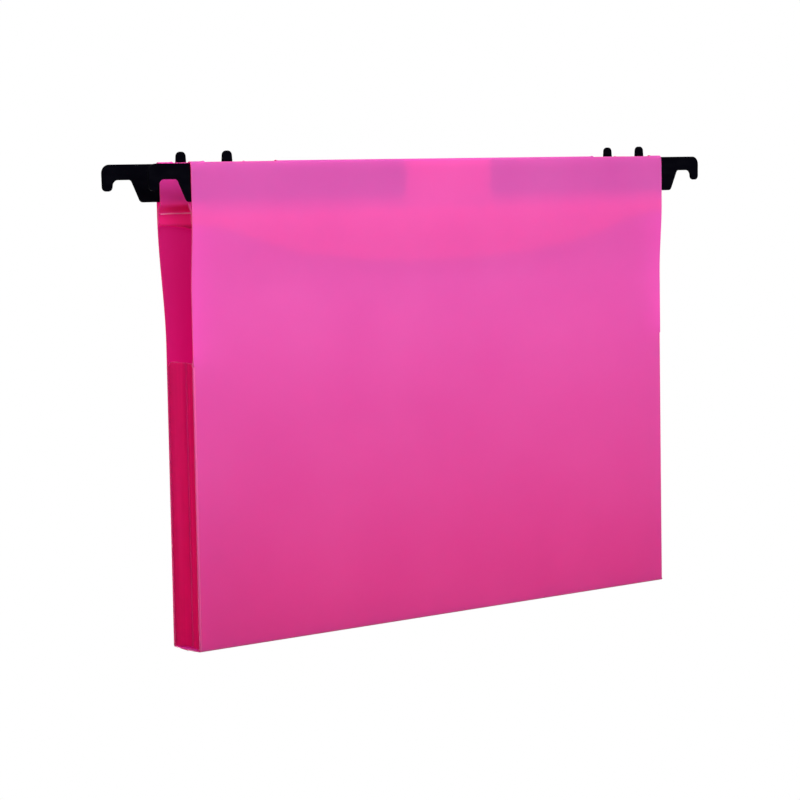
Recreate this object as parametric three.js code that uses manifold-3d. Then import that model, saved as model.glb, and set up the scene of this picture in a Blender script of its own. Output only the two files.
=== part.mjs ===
// Hanging document pocket of creased plastic sheet, carried by four sliding hook bars.
// Millimetres. +X runs to the right seen from the front, +Y from the front panel to the back
// panel, +Z up. The origin lies midway between the four hooks, at the height of their seats.

import * as THREE from 'three';
import { mergeVertices } from 'three/addons/utils/BufferGeometryUtils.js';
import Module from 'manifold-3d';

const wasm = await Module();
wasm.setup();

// Driving sizes of the pocket
const bodyWidth = 345;
const bodyHeight = 260; // from the base creases to the crest of the top folds
const sheet = 0.6; // thickness of the plastic sheet
const gap = 0.3; // clearance between pieces that meet
const pocketDepth = 25.3; // outside to outside, from the base up to the gusset tops
const mouthDepth = 33.2; // outside to outside, across the two sleeves
const frontFlare = 2.3; // how far the front panel leans out to reach its sleeve
const frontFlareHeight = 44;
const backFlareHeight = 72;

// Driving sizes of the sleeves and hem flaps
const sleeveClearance = 0.35; // on each side of a bar
const foldInnerRadius = 0.3; // of the two creases that roll the sheet over the bars
const weldDrop = 27.3; // weld line, below the crest
const weldRamp = 5; // height over which the inner wall runs in to the weld
const flapEndDrop = 33.3; // lower edge of the flap at its ends, below the crest
const flapMiddleDrop = 57.5; // the same in the middle
const slotOuterEnd = 9; // from the side edge of the pocket
const slotInnerEnd = 56;
const slotCutDepth = 1; // how far down the slot is cut, right through the crest
const slotCornerRadius = 0.8;

// Curve of the flap's lower edge, by the share of the way from a side edge to the middle
const flapCurveShares = [
  [0, 0],
  [0.05, 0.02],
  [0.1, 0.065],
  [0.14, 0.13],
  [0.19, 0.23],
  [0.25, 0.365],
  [0.32, 0.52],
  [0.42, 0.68],
  [0.55, 0.81],
  [0.75, 0.94],
  [1, 1],
];

// Driving sizes of the gussets and the base
const gussetHeight = 153.7; // top edge, above the base creases
const gussetAngle = THREE.MathUtils.degToRad(18); // how far each strip is folded in
const gussetCornerCut = 1.6;
const weldTabWidth = 8;
const baseAngle = THREE.MathUtils.degToRad(2.5); // slight sag of each half of the base

// Driving sizes of a hook bar, measured inward from its tip and down from its top edge
const barThickness = 1.8;
const barLength = 170;
const barHeight = 20.2;
const armHeight = 8.25; // from the top edge down to the seat
const tipRootWidth = 6.6; // of the hanging tip, at the seat
const tipWidth = 5.9; // the same at its foot
const tipTaper = 0.25;
const tipDrop = 14.1;
const shoulderInset = 18.3; // where the slanted shoulder leaves the seat
const shoulderFoot = 24; // where it reaches the lower edge
const hookCornerRadius = 4.7;
const seatTipRadius = 3.2;
const seatShoulderRadius = 2;
const footRadius = 2.4;
const innerEndTopRadius = 1;
const innerEndFootRadius = 3.2;
const pegInset = 50; // centre of the peg, from the tip
const pegWidth = 5.4;
const pegTaper = 0.9;
const pegHeight = 6.4;
const pegFootRadius = 0.6;

// How far each tip stands out past the side of the pocket
const frontLeftReach = 25.7;
const frontRightReach = 32.7;
const backLeftReach = 35.1;
const backRightReach = 34.8;

// Fineness of the curves
const arcSteps = 6;
const outlineArcSteps = 3; // an outline gets twice as many steps on each of its arcs
const flareSteps = 12;
const flapSteps = 44;
const fullRoundShare = 0.97; // of half a width, so that two end arcs stay apart
const overrun = 5; // how far a cut runs past what it cuts
const vertexTolerance = 1e-4;

// Heights and depths that follow
const crestZ = armHeight + gap + sheet;
const baseZ = crestZ - bodyHeight;
const weldZ = crestZ - weldDrop;
const sleeveHalf = sheet + sleeveClearance + barThickness / 2;
const foldRadius = foldInnerRadius + sheet;
const foldCentreZ = crestZ - foldRadius;
const panelFootZ = baseZ + sheet + gap;
const backFlare = mouthDepth - pocketDepth - frontFlare;

const AXIS_X = new THREE.Vector3(1, 0, 0);
const AXIS_Y = new THREE.Vector3(0, 1, 0);
const AXIS_Z = new THREE.Vector3(0, 0, 1);

// The two walls: outer face at the sleeve, direction towards the inside, and their own flare
const FRONT = { outerY: -mouthDepth / 2, inward: 1, flare: frontFlare, flareHeight: frontFlareHeight };
const BACK = { outerY: mouthDepth / 2, inward: -1, flare: backFlare, flareHeight: backFlareHeight };

// The two sides, by the direction in which they look outward
const LEFT = -1;
const RIGHT = 1;

// Materials
function sheetMaterial() {
  return new THREE.MeshStandardMaterial({ color: 0xe0509a, roughness: 0.42, metalness: 0 });
}

function barMaterial() {
  return new THREE.MeshStandardMaterial({ color: 0x101014, roughness: 0.5, metalness: 0 });
}

// Meshes and solids
function namedMesh(name, geometry, material) {
  const mesh = new THREE.Mesh(geometry, material);
  mesh.name = name;
  return mesh;
}

function toSolid(geometry) {
  const bare = geometry.clone();
  bare.deleteAttribute('normal');
  bare.deleteAttribute('uv');
  const merged = mergeVertices(bare, vertexTolerance);
  return new wasm.Manifold(new wasm.Mesh({
    numProp: 3,
    vertProperties: merged.attributes.position.array,
    triVerts: merged.index.array,
  }));
}

function toGeometry(solid) {
  const mesh = solid.getMesh();
  const geometry = new THREE.BufferGeometry();
  geometry.setAttribute('position', new THREE.BufferAttribute(mesh.vertProperties, 3));
  geometry.setIndex(new THREE.BufferAttribute(mesh.triVerts, 1));
  geometry.computeVertexNormals();
  return geometry;
}

function extrudeCentred(shape, length) {
  const settings = { depth: length, bevelEnabled: false, curveSegments: outlineArcSteps };
  return new THREE.ExtrudeGeometry(shape, settings).translate(0, 0, -length / 2);
}

// A section in depth and height, carried across the width
function acrossWidth(points, width) {
  const section = extrudeCentred(new THREE.Shape(points), width);
  return section.applyMatrix4(new THREE.Matrix4().makeBasis(AXIS_Y, AXIS_Z, AXIS_X));
}

// An outline in width and height, carried through the depth
function throughDepth(shape, depth) {
  const towardsFront = AXIS_Y.clone().negate();
  const plate = extrudeCentred(shape, depth);
  return plate.applyMatrix4(new THREE.Matrix4().makeBasis(AXIS_X, AXIS_Z, towardsFront));
}

// A closed outline whose corners are [x, y, radius]
function roundedShape(corners) {
  const shape = new THREE.Shape();
  const at = (index) => new THREE.Vector2(...corners.at(index % corners.length));
  corners.forEach(([x, y, radius], index) => {
    const corner = new THREE.Vector2(x, y);
    const back = at(index - 1).sub(corner).normalize();
    const ahead = at(index + 1).sub(corner).normalize();
    const half = Math.acos(back.dot(ahead)) / 2;
    const start = corner.clone().addScaledVector(back, radius / Math.tan(half));
    const end = corner.clone().addScaledVector(ahead, radius / Math.tan(half));
    const towardsCentre = back.clone().add(ahead).normalize();
    const centre = corner.clone().addScaledVector(towardsCentre, radius / Math.sin(half));
    const clockwise = back.cross(ahead) > 0;
    const from = start.sub(centre).angle();
    const to = end.sub(centre).angle();
    shape.absarc(centre.x, centre.y, radius, from, to, clockwise);
  });
  return shape;
}

function arcPoints(centreY, centreZ, radius, from, to) {
  return Array.from({ length: arcSteps + 1 }, (_, step) => {
    const angle = from + ((to - from) * step) / arcSteps;
    return new THREE.Vector2(centreY + radius * Math.cos(angle), centreZ + radius * Math.sin(angle));
  });
}

// How far the outer face of a wall lies inside its place at the sleeve, at one height
function flareAt(wall, z) {
  const share = THREE.MathUtils.clamp((weldZ - z) / wall.flareHeight, 0, 1);
  return (wall.flare * (1 - Math.cos(Math.PI * share))) / 2;
}

function heightsDown(fromZ, toZ, steps) {
  return Array.from({ length: steps + 1 }, (_, step) => fromZ + ((toZ - fromZ) * step) / steps);
}

// Turns points given as distance inward and height into the wall's own place
function placeOnWall(wall, points) {
  return points.map((point) => new THREE.Vector2(wall.outerY + wall.inward * point.x, point.y));
}

// A panel: flat at the foot, flared out to the sleeve, rolled over the bars at the top
function panelSection(wall) {
  const flareHeights = heightsDown(weldZ, weldZ - wall.flareHeight, flareSteps);
  const outer = flareHeights.map((z) => new THREE.Vector2(flareAt(wall, z), z));
  const inner = flareHeights.map((z) => new THREE.Vector2(flareAt(wall, z) + sheet, z));
  const foot = [
    new THREE.Vector2(wall.flare + sheet, panelFootZ),
    new THREE.Vector2(wall.flare, panelFootZ),
  ];
  const farFoldInset = sleeveHalf * 2 - foldRadius;
  const outerFold = [
    ...arcPoints(foldRadius, foldCentreZ, foldRadius, Math.PI, Math.PI / 2),
    ...arcPoints(farFoldInset, foldCentreZ, foldRadius, Math.PI / 2, 0),
  ];
  const innerFold = [
    ...arcPoints(farFoldInset, foldCentreZ, foldInnerRadius, 0, Math.PI / 2),
    ...arcPoints(foldRadius, foldCentreZ, foldInnerRadius, Math.PI / 2, Math.PI),
  ];
  return placeOnWall(wall, [...foot, ...outer.reverse(), ...outerFold, ...innerFold, ...inner]);
}

// A slot in the crest, a little wider than the peg is thick
function slotCutter(side) {
  const outerX = side * (bodyWidth / 2 - slotOuterEnd);
  const innerX = side * (bodyWidth / 2 - slotInnerEnd);
  const halfWidth = barThickness / 2 + gap;
  const outline = roundedShape([
    [outerX, -halfWidth, slotCornerRadius],
    [innerX, -halfWidth, slotCornerRadius],
    [innerX, halfWidth, slotCornerRadius],
    [outerX, halfWidth, slotCornerRadius],
  ]);
  return extrudeCentred(outline, slotCutDepth * 2);
}

function makePanel(name, wall) {
  const sleeveY = wall.outerY + wall.inward * sleeveHalf;
  const whole = toSolid(acrossWidth(panelSection(wall), bodyWidth));
  const slotted = [LEFT, RIGHT].reduce(
    (solid, side) => solid.subtract(toSolid(slotCutter(side).translate(0, sleeveY, crestZ))),
    whole,
  );
  return namedMesh(name, toGeometry(slotted), sheetMaterial());
}

// Inner wall of the sleeve, run in to the weld line, and the free lip below it
function flapOuterInset(wall, z) {
  const sleeveInset = sleeveHalf * 2 - sheet;
  const lipInset = flareAt(wall, z) + sheet + gap;
  const share = THREE.MathUtils.clamp((z - weldZ) / weldRamp, 0, 1);
  const blend = (1 - Math.cos(Math.PI * share)) / 2;
  return THREE.MathUtils.lerp(lipInset, sleeveInset, blend);
}

function flapSection(wall) {
  const topZ = foldCentreZ - gap;
  const rampHeights = heightsDown(weldZ + weldRamp, weldZ, flareSteps / 2);
  const lipHeights = heightsDown(weldZ, crestZ - flapMiddleDrop - overrun, flareSteps).slice(1);
  const heights = [topZ, ...rampHeights, ...lipHeights];
  const near = heights.map((z) => new THREE.Vector2(flapOuterInset(wall, z), z));
  const far = heights.map((z) => new THREE.Vector2(flapOuterInset(wall, z) + sheet, z));
  return placeOnWall(wall, [...near, ...far.reverse()]);
}

// Lower edge of the flap, deepest in the middle
function flapDrop(x) {
  const inward = THREE.MathUtils.clamp(1 - Math.abs(x) / (bodyWidth / 2), 0, 1);
  const next = Math.max(flapCurveShares.findIndex(([far]) => far >= inward), 1);
  const [[near, low], [far, high]] = flapCurveShares.slice(next - 1, next + 1);
  const bow = THREE.MathUtils.mapLinear(inward, near, far, low, high);
  return THREE.MathUtils.lerp(flapEndDrop, flapMiddleDrop, bow);
}

function flapOutline() {
  const lower = heightsDown(-bodyWidth / 2, bodyWidth / 2, flapSteps);
  const points = lower.map((x) => new THREE.Vector2(x, crestZ - flapDrop(x)));
  points.push(new THREE.Vector2(bodyWidth / 2, crestZ), new THREE.Vector2(-bodyWidth / 2, crestZ));
  return new THREE.Shape(points);
}

function makeHemFlap(name, wall) {
  const rolled = toSolid(acrossWidth(flapSection(wall), bodyWidth + overrun));
  const outline = toSolid(throughDepth(flapOutline(), (mouthDepth + overrun) * 2));
  return namedMesh(name, toGeometry(rolled.intersect(outline)), sheetMaterial());
}

// Faces inside the pocket, from the base up to the gusset tops
const frontInnerY = FRONT.outerY + frontFlare + sheet;
const backInnerY = BACK.outerY - backFlare - sheet;
const tabInnerY = backInnerY - gap - sheet;

// Gusset: both strips fold inward about upright axes. Each turns about an axis in its inner face,
// so that it folds flat against its wall, and the axis at the crest lies half a gap outside their
// outer faces.
const gussetFrontAxisY = frontInnerY + gap;
const gussetRearAxisY = tabInnerY - gap;
const gussetAxisX = bodyWidth / 2 - sheet;
const gussetHalfDepth = (gussetRearAxisY - gussetFrontAxisY) / 2;
const gussetReach = (gussetHalfDepth - (sheet + gap / 2) * Math.sin(gussetAngle)) / Math.cos(gussetAngle);

function gussetStripShape() {
  const length = gussetReach - gap / 2;
  const topZ = baseZ + gussetHeight;
  return new THREE.Shape([
    new THREE.Vector2(0, panelFootZ),
    new THREE.Vector2(length, panelFootZ),
    new THREE.Vector2(length, topZ),
    new THREE.Vector2(gussetCornerCut, topZ),
    new THREE.Vector2(0, topZ - gussetCornerCut),
  ]);
}

// wallSide is 1 for the rear strip, which runs forward from the back panel, and -1 for the front one
function makeGussetStrip(name, side, wallSide) {
  const plate = throughDepth(gussetStripShape(), sheet);
  const strip = namedMesh(name, plate.translate(0, (wallSide * side * sheet) / 2, 0), sheetMaterial());
  const hinge = new THREE.Group();
  hinge.position.set(side * gussetAxisX, wallSide > 0 ? gussetRearAxisY : gussetFrontAxisY, 0);
  hinge.rotation.z = -wallSide * (Math.PI / 2) - wallSide * side * gussetAngle;
  hinge.add(strip);
  return hinge;
}

function makeWeldTab(name, side) {
  const tab = new THREE.BoxGeometry(weldTabWidth, sheet, gussetHeight - sheet - gap);
  const mesh = namedMesh(name, tab, sheetMaterial());
  mesh.position.set(
    side * (bodyWidth / 2 - weldTabWidth / 2),
    tabInnerY + sheet / 2,
    (panelFootZ + baseZ + gussetHeight) / 2,
  );
  return mesh;
}

function makeGusset(sideName, side) {
  const gusset = new THREE.Group();
  gusset.add(
    makeGussetStrip(`${sideName}_gusset_front_strip`, side, -1),
    makeGussetStrip(`${sideName}_gusset_rear_strip`, side, 1),
    makeWeldTab(`${sideName}_gusset_weld_tab`, side),
  );
  return gusset;
}

// Base: two half strips that fold downward about level axes. Each turns about the middle of its
// rounded outer edge, and the axis at the centre crease lies half a gap above their upper faces.
const baseFrontAxisY = FRONT.outerY + frontFlare + sheet / 2;
const baseRearAxisY = BACK.outerY - backFlare - sheet / 2;
const baseHalfDepth = (baseRearAxisY - baseFrontAxisY) / 2;
const baseReach = (baseHalfDepth - (sheet / 2 + gap / 2) * Math.sin(baseAngle)) / Math.cos(baseAngle);

function makeBaseStrip(name, wallSide) {
  const length = baseReach - gap / 2;
  const roundEnd = arcPoints(0, 0, sheet / 2, -Math.PI / 2, -Math.PI * 1.5);
  const section = [...roundEnd, new THREE.Vector2(length, sheet / 2), new THREE.Vector2(length, -sheet / 2)];
  const mirrored = section.map((point) => new THREE.Vector2(-wallSide * point.x, point.y));
  const strip = namedMesh(name, acrossWidth(mirrored, bodyWidth), sheetMaterial());
  const hinge = new THREE.Group();
  hinge.position.set(0, wallSide > 0 ? baseRearAxisY : baseFrontAxisY, baseZ + sheet / 2);
  hinge.rotation.x = wallSide * baseAngle;
  hinge.add(strip);
  return hinge;
}

// Hook bar: a flat moulding with a hook at its outer end and a finger peg on its top edge
function hookBarShape() {
  const tipRadius = ((tipWidth - tipTaper) / 2) * fullRoundShare;
  const pegRadius = (pegWidth / 2) * fullRoundShare;
  const pegFoot = pegWidth / 2 + pegTaper / 2;
  return roundedShape([
    [0, armHeight, hookCornerRadius],
    [tipTaper, armHeight - tipDrop, tipRadius],
    [tipWidth, armHeight - tipDrop, tipRadius],
    [tipRootWidth, 0, seatTipRadius],
    [shoulderInset, 0, seatShoulderRadius],
    [shoulderFoot, armHeight - barHeight, footRadius],
    [barLength, armHeight - barHeight, innerEndFootRadius],
    [barLength, armHeight, innerEndTopRadius],
    [pegInset + pegFoot, armHeight, pegFootRadius],
    [pegInset + pegWidth / 2, armHeight + pegHeight, pegRadius],
    [pegInset - pegWidth / 2, armHeight + pegHeight, pegRadius],
    [pegInset - pegFoot, armHeight, pegFootRadius],
  ]);
}

function makeHookBar(name, wall, side, reach) {
  const bar = throughDepth(hookBarShape(), barThickness);
  const mesh = namedMesh(name, bar, barMaterial());
  mesh.position.set(side * (bodyWidth / 2 + reach), wall.outerY + wall.inward * sleeveHalf, 0);
  mesh.rotation.z = side === RIGHT ? Math.PI : 0;
  return mesh;
}

function makeWall(wallName, wall, wallSide, leftReach, rightReach) {
  const group = new THREE.Group();
  group.add(
    makePanel(`${wallName}_panel`, wall),
    makeHemFlap(`${wallName}_hem_flap`, wall),
    makeBaseStrip(`base_${wallName}_strip`, wallSide),
    makeHookBar(`${wallName}_left_hook_bar`, wall, LEFT, leftReach),
    makeHookBar(`${wallName}_right_hook_bar`, wall, RIGHT, rightReach),
  );
  return group;
}

const pocket = new THREE.Group();
pocket.add(
  makeWall('front', FRONT, -1, frontLeftReach, frontRightReach),
  makeWall('back', BACK, 1, backLeftReach, backRightReach),
  makeGusset('left', LEFT),
  makeGusset('right', RIGHT),
);

export default pocket;
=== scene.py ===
"""Looks of a hanging document pocket: creased, translucent plastic sheet on four sliding hook bars.

Sizes are in millimetres and in the part's own frame: X runs to the right seen from the front, Y from
the front panel to the back panel, Z up, and the hooks rest at height zero.
"""

import logging
import math
from bisect import bisect_right
from dataclasses import dataclass, field
from enum import Enum
from typing import Callable, Protocol, Sequence

import bpy
from mathutils import Matrix, Vector
from mathutils.geometry import delaunay_2d_cdt

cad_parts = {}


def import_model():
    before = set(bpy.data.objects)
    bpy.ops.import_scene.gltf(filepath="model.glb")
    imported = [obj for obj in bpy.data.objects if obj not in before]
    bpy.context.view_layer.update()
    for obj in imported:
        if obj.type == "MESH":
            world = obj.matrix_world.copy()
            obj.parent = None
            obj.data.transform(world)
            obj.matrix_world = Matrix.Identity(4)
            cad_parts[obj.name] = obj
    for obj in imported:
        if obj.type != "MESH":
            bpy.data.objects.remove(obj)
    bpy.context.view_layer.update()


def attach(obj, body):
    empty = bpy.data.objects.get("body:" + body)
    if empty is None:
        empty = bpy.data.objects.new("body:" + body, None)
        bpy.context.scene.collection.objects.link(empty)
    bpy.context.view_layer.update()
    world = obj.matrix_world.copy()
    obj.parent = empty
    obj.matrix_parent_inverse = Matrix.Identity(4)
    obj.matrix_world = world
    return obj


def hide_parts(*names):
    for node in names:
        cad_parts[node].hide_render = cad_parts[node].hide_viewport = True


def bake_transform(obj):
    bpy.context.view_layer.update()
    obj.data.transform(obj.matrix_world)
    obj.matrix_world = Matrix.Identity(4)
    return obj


LOG = logging.getLogger("document_pocket")
METRES_PER_MM = 0.001
WHITE = (1.0, 1.0, 1.0, 1.0)
TINY = 1e-9  # lengths below this count as none
CUT_TOLERANCE = 1e-4  # points closer than this are one when sheet is cut, in millimetres
X_AXIS = Vector((1.0, 0.0, 0.0))
Y_AXIS = Vector((0.0, 1.0, 0.0))
Z_AXIS = Vector((0.0, 0.0, 1.0))

Outline = Sequence[tuple[float, float]]
Colour = tuple[float, float, float, float]
Triple = tuple[float, float, float]
Socket = bpy.types.NodeSocket


class Side(Enum):
    """A side of the pocket, by the direction in which it looks outward along X."""

    LEFT = -1
    RIGHT = 1


class Slot(Enum):
    """The record's material slots."""

    SHEET = "pocket_sheet"
    BAR = "hook_bar"


# Sizes


@dataclass(frozen=True)
class PocketSizes:
    """Sizes that several pieces of the pocket share."""

    width: float = 345.0
    height: float = 260.0
    sheet: float = 0.6
    gap: float = 0.3
    crest: float = 9.15
    weld_drop: float = 27.3
    weld_ramp: float = 5.0
    sleeve_half: float = 1.85
    roll_radius: float = 1.255
    roll_lean: float = math.radians(9.0)
    roll_lean_radius: float = 25.0
    gusset_height: float = 153.7
    gusset_angle: float = math.radians(18.0)
    gusset_corner_cut: float = 1.6
    base_angle: float = math.radians(2.5)
    edge_radius: float = 0.15
    flap_end_drop: float = 33.3
    flap_middle_drop: float = 57.5
    flap_shares: tuple[tuple[float, float], ...] = (
        (0.0, 0.0), (0.05, 0.02), (0.1, 0.065), (0.14, 0.13), (0.19, 0.23), (0.25, 0.365),
        (0.32, 0.52), (0.42, 0.68), (0.55, 0.81), (0.75, 0.94), (1.0, 1.0),
    )

    @property
    def half_width(self) -> float:
        """Distance from the middle to a side edge."""
        return self.width / 2

    @property
    def base_level(self) -> float:
        """Height of the base creases."""
        return self.crest - self.height

    @property
    def foot_level(self) -> float:
        """Height of the upright pieces' lower edges."""
        return self.base_level + self.sheet + self.gap

    @property
    def weld_level(self) -> float:
        """Height of the weld line."""
        return self.crest - self.weld_drop

    @property
    def gusset_top(self) -> float:
        """Height of the gussets' top edges."""
        return self.base_level + self.gusset_height


@dataclass(frozen=True)
class Wall:
    """One of the two walls: its outer face at the sleeve, which way is in, and its own flare."""

    name: str
    outer: float
    inward: int
    flare: float
    flare_height: float

    def inset_at(self, height: float, sizes: PocketSizes) -> float:
        """How far the outer face lies inside its place at the sleeve.

        Args:
            height: Height in millimetres.
            sizes: The pocket's shared sizes.

        Returns:
            The inset in millimetres.
        """
        share = min(max((sizes.weld_level - height) / self.flare_height, 0.0), 1.0)
        return self.flare * (1 - math.cos(math.pi * share)) / 2

    def depth(self, inset: float) -> float:
        """The Y coordinate at a distance inward of the sleeve's outer face."""
        return self.outer + self.inward * inset


FRONT = Wall("front", -16.6, 1, 2.3, 44.0)
BACK = Wall("back", 16.6, -1, 5.6, 72.0)


# Lines and surfaces that sheet is laid on


class Path:
    """A line in a plane, drawn from straight runs, arcs and curves, known by the length along it."""

    def __init__(self, start: Vector, heading: Vector) -> None:
        """Starts the line.

        Args:
            start: First point, as two coordinates.
            heading: Direction of the line there.
        """
        self.points: list[Vector] = [start.copy()]
        self.headings: list[Vector] = [heading.normalized()]
        self.lengths: list[float] = [0.0]

    @property
    def length(self) -> float:
        """Length drawn so far."""
        return self.lengths[-1]

    def _add(self, point: Vector, heading: Vector) -> None:
        """Adds one point.

        Args:
            point: The point.
            heading: Direction of the line there.
        """
        self.lengths.append(self.length + (point - self.points[-1]).length)
        self.points.append(point)
        self.headings.append(heading.normalized())

    def line(self, run: float, steps: int = 1) -> "Path":
        """Draws straight on.

        Args:
            run: Length of the run.
            steps: Number of pieces it is cut into.

        Returns:
            The same line, for the next call.
        """
        start, heading = self.points[-1].copy(), self.headings[-1].copy()
        for step in range(1, steps + 1):
            self._add(start + heading * (run * step / steps), heading)
        return self

    def arc(self, radius: float, turn: float, steps: int) -> "Path":
        """Draws an arc.

        Args:
            radius: Radius of the arc.
            turn: Angle turned, positive to the left.
            steps: Number of pieces it is cut into.

        Returns:
            The same line, for the next call.
        """
        start, heading = self.points[-1].copy(), self.headings[-1].copy()
        left = Vector((-heading.y, heading.x))
        sign = math.copysign(1.0, turn)
        centre = start + left * (radius * sign)
        for step in range(1, steps + 1):
            angle = turn * step / steps
            arm = Matrix.Rotation(angle, 2) @ (left * (-radius * sign))
            self._add(centre + arm, Matrix.Rotation(angle, 2) @ heading)
        return self

    def follow(self, inset_at: Callable[[float], float], heights: Sequence[float]) -> "Path":
        """Draws a curve given as inset by height.

        Args:
            inset_at: Gives the first coordinate at a height.
            heights: Heights of the points, after the one reached so far.

        Returns:
            The same line, for the next call.
        """
        nudge = 0.01
        for height in heights:
            rising = math.copysign(1.0, height - self.points[-1].y)
            slope = (inset_at(height + nudge) - inset_at(height - nudge)) / (2 * nudge)
            self._add(Vector((inset_at(height), height)), Vector((slope * rising, rising)))
        return self

    def at(self, length: float) -> tuple[Vector, Vector]:
        """Finds a place on the line, or straight beyond its ends.

        Args:
            length: Distance along the line.

        Returns:
            The point and the heading there.
        """
        if length <= 0.0:
            return self.points[0] + self.headings[0] * length, self.headings[0]
        if length >= self.length:
            return self.points[-1] + self.headings[-1] * (length - self.length), self.headings[-1]
        index = bisect_right(self.lengths, length) - 1
        share = (length - self.lengths[index]) / (self.lengths[index + 1] - self.lengths[index])
        point = self.points[index].lerp(self.points[index + 1], share)
        heading = self.headings[index].lerp(self.headings[index + 1], share)
        return point, heading.normalized()

    def length_at_height(self, height: float, after: float = 0.0) -> float:
        """Finds how far along the line a height is first passed.

        Args:
            height: The second coordinate to look for.
            after: Distance along the line from which to look.

        Returns:
            The distance along the line.
        """
        for index in range(len(self.points) - 1):
            if self.lengths[index] < after - TINY:
                continue
            low, high = self.points[index].y, self.points[index + 1].y
            if min(low, high) - TINY <= height <= max(low, high) + TINY and abs(high - low) > TINY:
                share = (height - low) / (high - low)
                return self.lengths[index] + share * (self.lengths[index + 1] - self.lengths[index])
        return self.length


@dataclass(frozen=True)
class Spot:
    """A place on the middle of a sheet, with the sheet's own directions there."""

    point: Vector
    along: Vector
    across: Vector
    out: Vector


class Lay(Protocol):
    """A surface on which flat sheet is laid."""

    def at(self, u: float, v: float) -> Spot:
        """The place of a point of the flat sheet."""
        ...


@dataclass(frozen=True)
class FlatLay:
    """A plane, by its origin and the directions of the sheet's two coordinates."""

    origin: Vector
    along: Vector
    across: Vector

    def at(self, u: float, v: float) -> Spot:
        """The place of a point of the flat sheet."""
        point = self.origin + self.along * u + self.across * v
        return Spot(point, self.along, self.across, self.along.cross(self.across))


@dataclass(frozen=True)
class RolledLay:
    """A line carried straight along a direction, so that sheet laid on it bends one way only."""

    origin: Vector
    along: Vector
    first: Vector
    second: Vector
    path: Path
    spring: Callable[[float, float], Vector] | None = None

    def at(self, u: float, v: float) -> Spot:
        """Gives the place of a point of the flat sheet.

        Args:
            u: The point's coordinate along the direction in which the line is carried.
            v: The point's distance along the line.

        Returns:
            The place, with the sheet's directions there.
        """
        place, heading = self.path.at(v)
        if self.spring is not None:
            place = place + self.spring(u, v)
        point = self.origin + self.along * u + self.first * place.x + self.second * place.y
        across = self.first * heading.x + self.second * heading.y
        return Spot(point, self.along, across, self.along.cross(across))


def crossing(point: Vector, heading: Vector, other: Vector, other_heading: Vector) -> Vector:
    """Finds where two lines in a plane cross.

    Args:
        point: A point of the first line.
        heading: Direction of the first line.
        other: A point of the second line.
        other_heading: Direction of the second line.

    Returns:
        The crossing point.
    """
    run = (other - point).cross(other_heading) / heading.cross(other_heading)
    return point + heading * run


def arc_steps(turn: float, finest: float, fewest: int) -> int:
    """Number of pieces for an arc.

    Args:
        turn: Angle that the arc turns through.
        finest: Angle that one piece may turn, in degrees.
        fewest: Number of pieces that even a slight arc gets.

    Returns:
        The number of pieces.
    """
    return max(fewest, round(abs(turn) / math.radians(finest)))


def creased_path(
    point: Vector, heading: Vector, other: Vector, other_heading: Vector, radius: float, lead: float = 0.0
) -> Path:
    """Draws the rounded bend by which sheet goes from one line over to another.

    Args:
        point: A point of the line that comes in.
        heading: Direction of the line that comes in.
        other: A point of the line that goes out.
        other_heading: Direction of the line that goes out.
        radius: Radius of the bend, at the middle of the sheet.
        lead: Straight run before and after the bend.

    Returns:
        The line of the bend.
    """
    corner = crossing(point, heading, other, other_heading)
    turn = math.atan2(heading.cross(other_heading), heading.dot(other_heading))
    tangent = radius * math.tan(abs(turn) / 2)
    path = Path(corner - heading * (tangent + lead), heading)
    if lead > 0.0:
        path.line(lead)
    path.arc(radius, turn, arc_steps(turn, finest=9.0, fewest=4))
    if lead > 0.0:
        path.line(lead)
    return path


def spaced(start: float, end: float, steps: int) -> list[float]:
    """Evenly spaced values from start to end, both included."""
    return [start + (end - start) * step / steps for step in range(steps + 1)]


def rounded_outline(corners: Sequence[tuple[float, float, float]]) -> list[tuple[float, float]]:
    """Draws a closed outline with rounded corners.

    Args:
        corners: Each corner's two coordinates and its radius.

    Returns:
        The points of the outline, in the order of the corners.
    """
    points: list[tuple[float, float]] = []
    count = len(corners)
    for index, (x, y, radius) in enumerate(corners):
        corner = Vector((x, y))
        back = (Vector(corners[index - 1][:2]) - corner).normalized()
        ahead = (Vector(corners[(index + 1) % count][:2]) - corner).normalized()
        half = math.acos(max(-1.0, min(1.0, back.dot(ahead)))) / 2
        centre = corner + (back + ahead).normalized() * (radius / math.sin(half))
        start = corner + back * (radius / math.tan(half)) - centre
        turn = math.copysign(math.pi - 2 * half, ahead.cross(back))
        steps = arc_steps(turn, finest=10.0, fewest=3)
        for step in range(steps + 1):
            place = centre + Matrix.Rotation(turn * step / steps, 2) @ start
            points.append((place.x, place.y))
    return points


# Meshes


# Numbers of a piece's materials
FACE_MARK, EDGE_MARK, FLAP_MARK = range(3)


def shifted(loop: Outline, amount: float) -> list[tuple[float, float]]:
    """Moves each side of a closed loop to its right by the same amount.

    Args:
        loop: The points of the loop.
        amount: Distance in millimetres. A loop drawn anticlockwise grows.

    Returns:
        The points of the moved loop.
    """
    count = len(loop)
    moved: list[tuple[float, float]] = []
    for index in range(count):
        here = Vector(loop[index])
        before = (here - Vector(loop[index - 1])).normalized()
        after = (Vector(loop[(index + 1) % count]) - here).normalized()
        place = here + mitre(before, after) * amount
        moved.append((place.x, place.y))
    return moved


def mitre(before: Vector, after: Vector) -> Vector:
    """Gives the step to the right that keeps both sides of a corner at unit distance.

    Args:
        before: Direction of the side before the corner.
        after: Direction of the side after it.

    Returns:
        The step, which a very sharp corner doesn't draw out without end.
    """
    sharpest = 0.3
    total = Vector((before.y, -before.x)) + Vector((after.y, -after.x))
    return total / max(total.length_squared / 2, sharpest)


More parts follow.
